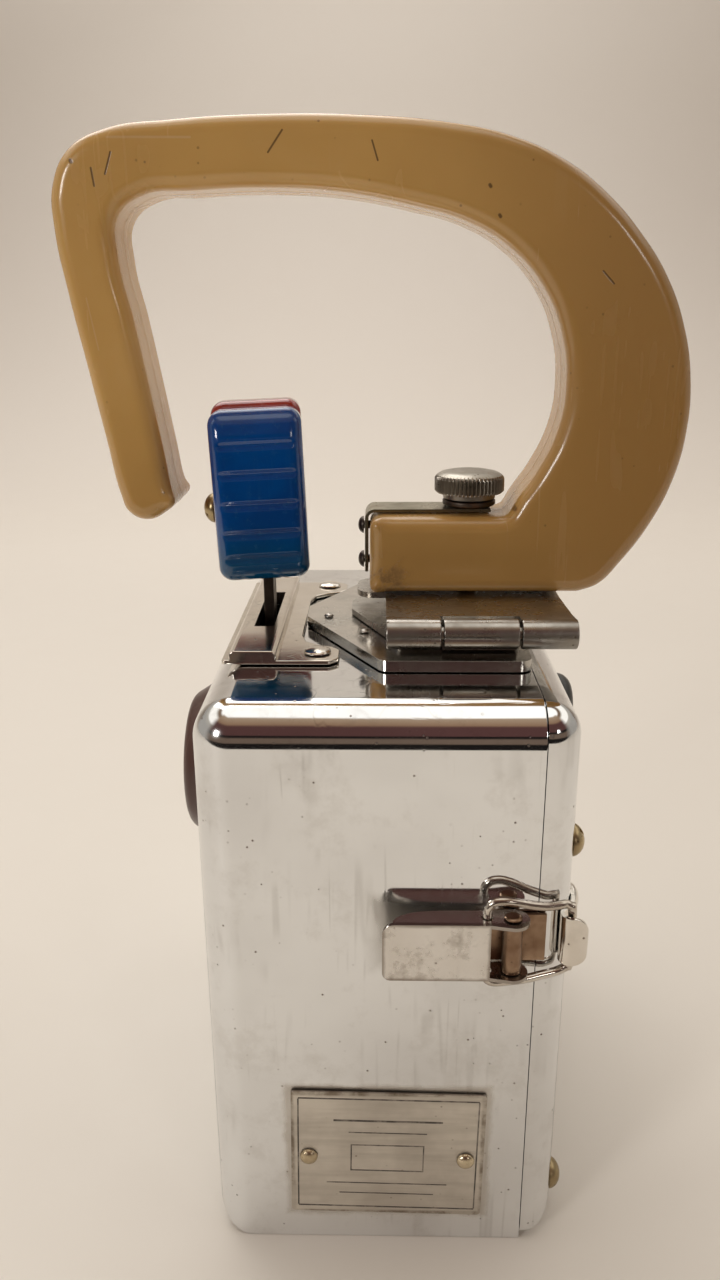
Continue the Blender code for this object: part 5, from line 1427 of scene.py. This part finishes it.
piece(ease(block("sw", (26.0, -11.0, 103.0), (37.4, 11.0, 125.0)), 1.0, 4), "switch_body", BLACK)


# ---------------------------------------------------------------- stage
def stage_material():
    g = Graph("seamless_paper")
    cloud = g.noise(1.6, 2, 0.5)
    colour = g.mix(g.ramp(cloud, 0.3, 0.7), (0.80, 0.762, 0.700), (0.785, 0.745, 0.680))
    return g.finish(colour, g.ramp(g.noise(40, 2), 0.3, 0.7, 0.6, 0.7), g.bump(g.noise(900, 2), 0.05, 0.0002))


def backdrop():
    side = [(-0.42, 0.0), (0.8, 0.0)]
    side += [(0.8 + 0.5 * math.sin(a), 0.5 - 0.5 * math.cos(a)) for a in np.linspace(0, math.pi / 2, 25)[1:]]
    side += [(1.3, 0.72)]
    verts, faces = [], []
    for x in (-2.0, 2.0):
        verts += [(x / MM, y / MM, z / MM) for y, z in side]
    n = len(side)
    for i in range(n - 1):
        faces.append((i, i + 1, n + i + 1, n + i))
    obj = add("backdrop", mesh_from("backdrop", verts, faces))
    if obj.data.polygons[0].normal.z < 0:
        obj.data.flip_normals()
    obj.data.materials.append(stage_material())
    obj.data.shade_smooth()
    return obj


backdrop()


def area_light(name, spot, aim, size, power, colour=(1.0, 1.0, 1.0)):
    data = bpy.data.lights.new(name, "AREA")
    data.shape = "SQUARE"
    data.size = size
    data.energy = power
    data.color = colour
    obj = bpy.data.objects.new(name, data)
    scene.collection.objects.link(obj)
    obj.location = spot
    obj.rotation_euler = (Vector(spot) - Vector(aim)).to_track_quat("Z", "Y").to_euler()
    return obj


area_light("overhead", (-0.30, 0.62, 1.05), (0.0, 0.0, 0.1), 0.8, 4.1, (1.0, 0.975, 0.945))
area_light("backdrop_wash", (-0.1, 0.62, 1.05), (0.0, 1.3, 0.95), 0.8, 3.8, (1.0, 0.97, 0.93))
area_light("front_left", (-0.80, -0.85, 0.52), (0.0, 0.0, 0.17), 0.22, 2.9, (1.0, 0.97, 0.93))
area_light("front_right", (0.60, -1.0, 0.52), (0.0, 0.0, 0.16), 0.16, 0.6, (1.0, 0.96, 0.91))


def studio_world():
    """A soft overhead and pale surroundings, with the darker camera side seen only in the plating."""
    world = bpy.data.worlds.new("studio")
    scene.world = world
    world.use_nodes = True
    tree = world.node_tree
    tree.nodes.clear()

    def node(kind, **settings):
        made = tree.nodes.new(kind)
        for key, value in settings.items():
            setattr(made, key, value)
        return made

    def calc(operation, a, b=0.0):
        made = node("ShaderNodeMath", operation=operation)
        for socket, value in zip(made.inputs, (a, b)):
            if isinstance(value, bpy.types.NodeSocket):
                tree.links.new(value, socket)
            else:
                socket.default_value = value
        return made.outputs[0]

    coords = node("ShaderNodeTexCoord")
    split = node("ShaderNodeSeparateXYZ")
    tree.links.new(coords.outputs["Generated"], split.inputs[0])
    x, y, z = split.outputs
    level = calc("SQRT", calc("ADD", calc("MULTIPLY", x, x), calc("MULTIPLY", y, y)))
    height = calc("MULTIPLY", calc("ARCTAN2", z, level), 1 / math.pi)
    height = calc("ADD", height, 0.5)
    front = calc("DIVIDE", calc("MULTIPLY", y, -1.0), calc("ADD", level, 0.0001))
    mask = node("ShaderNodeMapRange", interpolation_type="SMOOTHSTEP")
    tree.links.new(front, mask.inputs["Value"])
    mask.inputs["From Min"].default_value = 0.15
    mask.inputs["From Max"].default_value = 0.55

    def ramp(stops):
        made = node("ShaderNodeValToRGB")
        tree.links.new(height, made.inputs["Fac"])
        ramp_stops = made.color_ramp.elements
        while len(ramp_stops) > 1:
            ramp_stops.remove(ramp_stops[-1])
        for i, (degrees, colour) in enumerate(stops):
            spot = (degrees + 90.0) / 180.0
            stop = ramp_stops[0] if i == 0 else ramp_stops.new(spot)
            stop.position = spot
            stop.color = (*colour, 1.0)
        return made.outputs["Color"]

    black, dark, brown = (0.012, 0.010, 0.009), (0.10, 0.045, 0.040), (0.30, 0.18, 0.11)
    cream, bright = (0.42, 0.388, 0.345), (1.35, 1.29, 1.20)
    ahead = ramp([
        (-90, (0.5, 0.45, 0.38)), (-24, (0.5, 0.45, 0.38)), (-21, black), (-4, black), (-2, (0.16, 0.11, 0.08)), (10, (0.16, 0.11, 0.08)),
        (14, black), (18, black), (20, dark), (44, dark), (50, brown), (68, (0.42, 0.30, 0.20)), (72, bright), (90, bright),
    ])
    behind = ramp([
        (-90, cream), (20, cream), (31, (0.52, 0.47, 0.40)), (34, (1.25, 1.18, 1.08)), (51, (1.25, 1.18, 1.08)), (55, (0.6, 0.54, 0.46)),
        (58, (0.22, 0.14, 0.09)), (63, (0.22, 0.14, 0.09)), (67, bright), (90, bright),
    ])
    mix = node("ShaderNodeMix", data_type="RGBA")
    tree.links.new(mask.outputs["Result"], mix.inputs["Factor"])
    colour_inputs = [s for s in mix.inputs if s.type == "RGBA"]
    tree.links.new(behind, colour_inputs[0])
    tree.links.new(ahead, colour_inputs[1])
    surroundings = [s for s in mix.outputs if s.type == "RGBA"][0]
    lit = node("ShaderNodeBackground")
    tree.links.new(surroundings, lit.inputs["Color"])
    lit.inputs["Strength"].default_value = 1.0
    plain = node("ShaderNodeBackground")
    plain.inputs["Color"].default_value = (0.74, 0.67, 0.57, 1.0)
    path = node("ShaderNodeLightPath")
    blend = node("ShaderNodeMixShader")
    tree.links.new(path.outputs["Is Camera Ray"], blend.inputs[0])
    tree.links.new(lit.outputs[0], blend.inputs[1])
    tree.links.new(plain.outputs[0], blend.inputs[2])
    out = node("ShaderNodeOutputWorld")
    tree.links.new(blend.outputs[0], out.inputs["Surface"])


studio_world()
scene.view_settings.view_transform = "Standard"
scene.view_settings.look = "None"

# ---------------------------------------------------------------- camera
pitch, yaw, roll = math.radians(18.5), math.radians(1.3), math.radians(0.3)
ahead = Vector((-math.sin(yaw) * math.cos(pitch), math.cos(yaw) * math.cos(pitch), -math.sin(pitch)))
right = Vector((math.cos(yaw), math.sin(yaw), 0.0))
down = ahead.cross(right)
r_axis = math.cos(roll) * right + math.sin(roll) * down
d_axis = -math.sin(roll) * right + math.cos(roll) * down
camera = bpy.data.objects.new("camera", bpy.data.cameras.new("camera"))
scene.collection.objects.link(camera)
camera.matrix_world = Matrix((
    (r_axis[0], -d_axis[0], -ahead[0], -0.00085),
    (r_axis[1], -d_axis[1], -ahead[1], -0.241),
    (r_axis[2], -d_axis[2], -ahead[2], 0.2117),
    (0, 0, 0, 1),
))
camera.data.sensor_width = 36.0
camera.data.lens = 993.0 / 1280.0 * 36.0
camera.data.clip_start = 0.01
scene.camera = camera

left_over = [n for n in frame["nodes"] if not frame["nodes"][n].hide_render]
if left_over:
    print("CAD nodes still shown:", left_over)
bpy.context.view_layer.update()
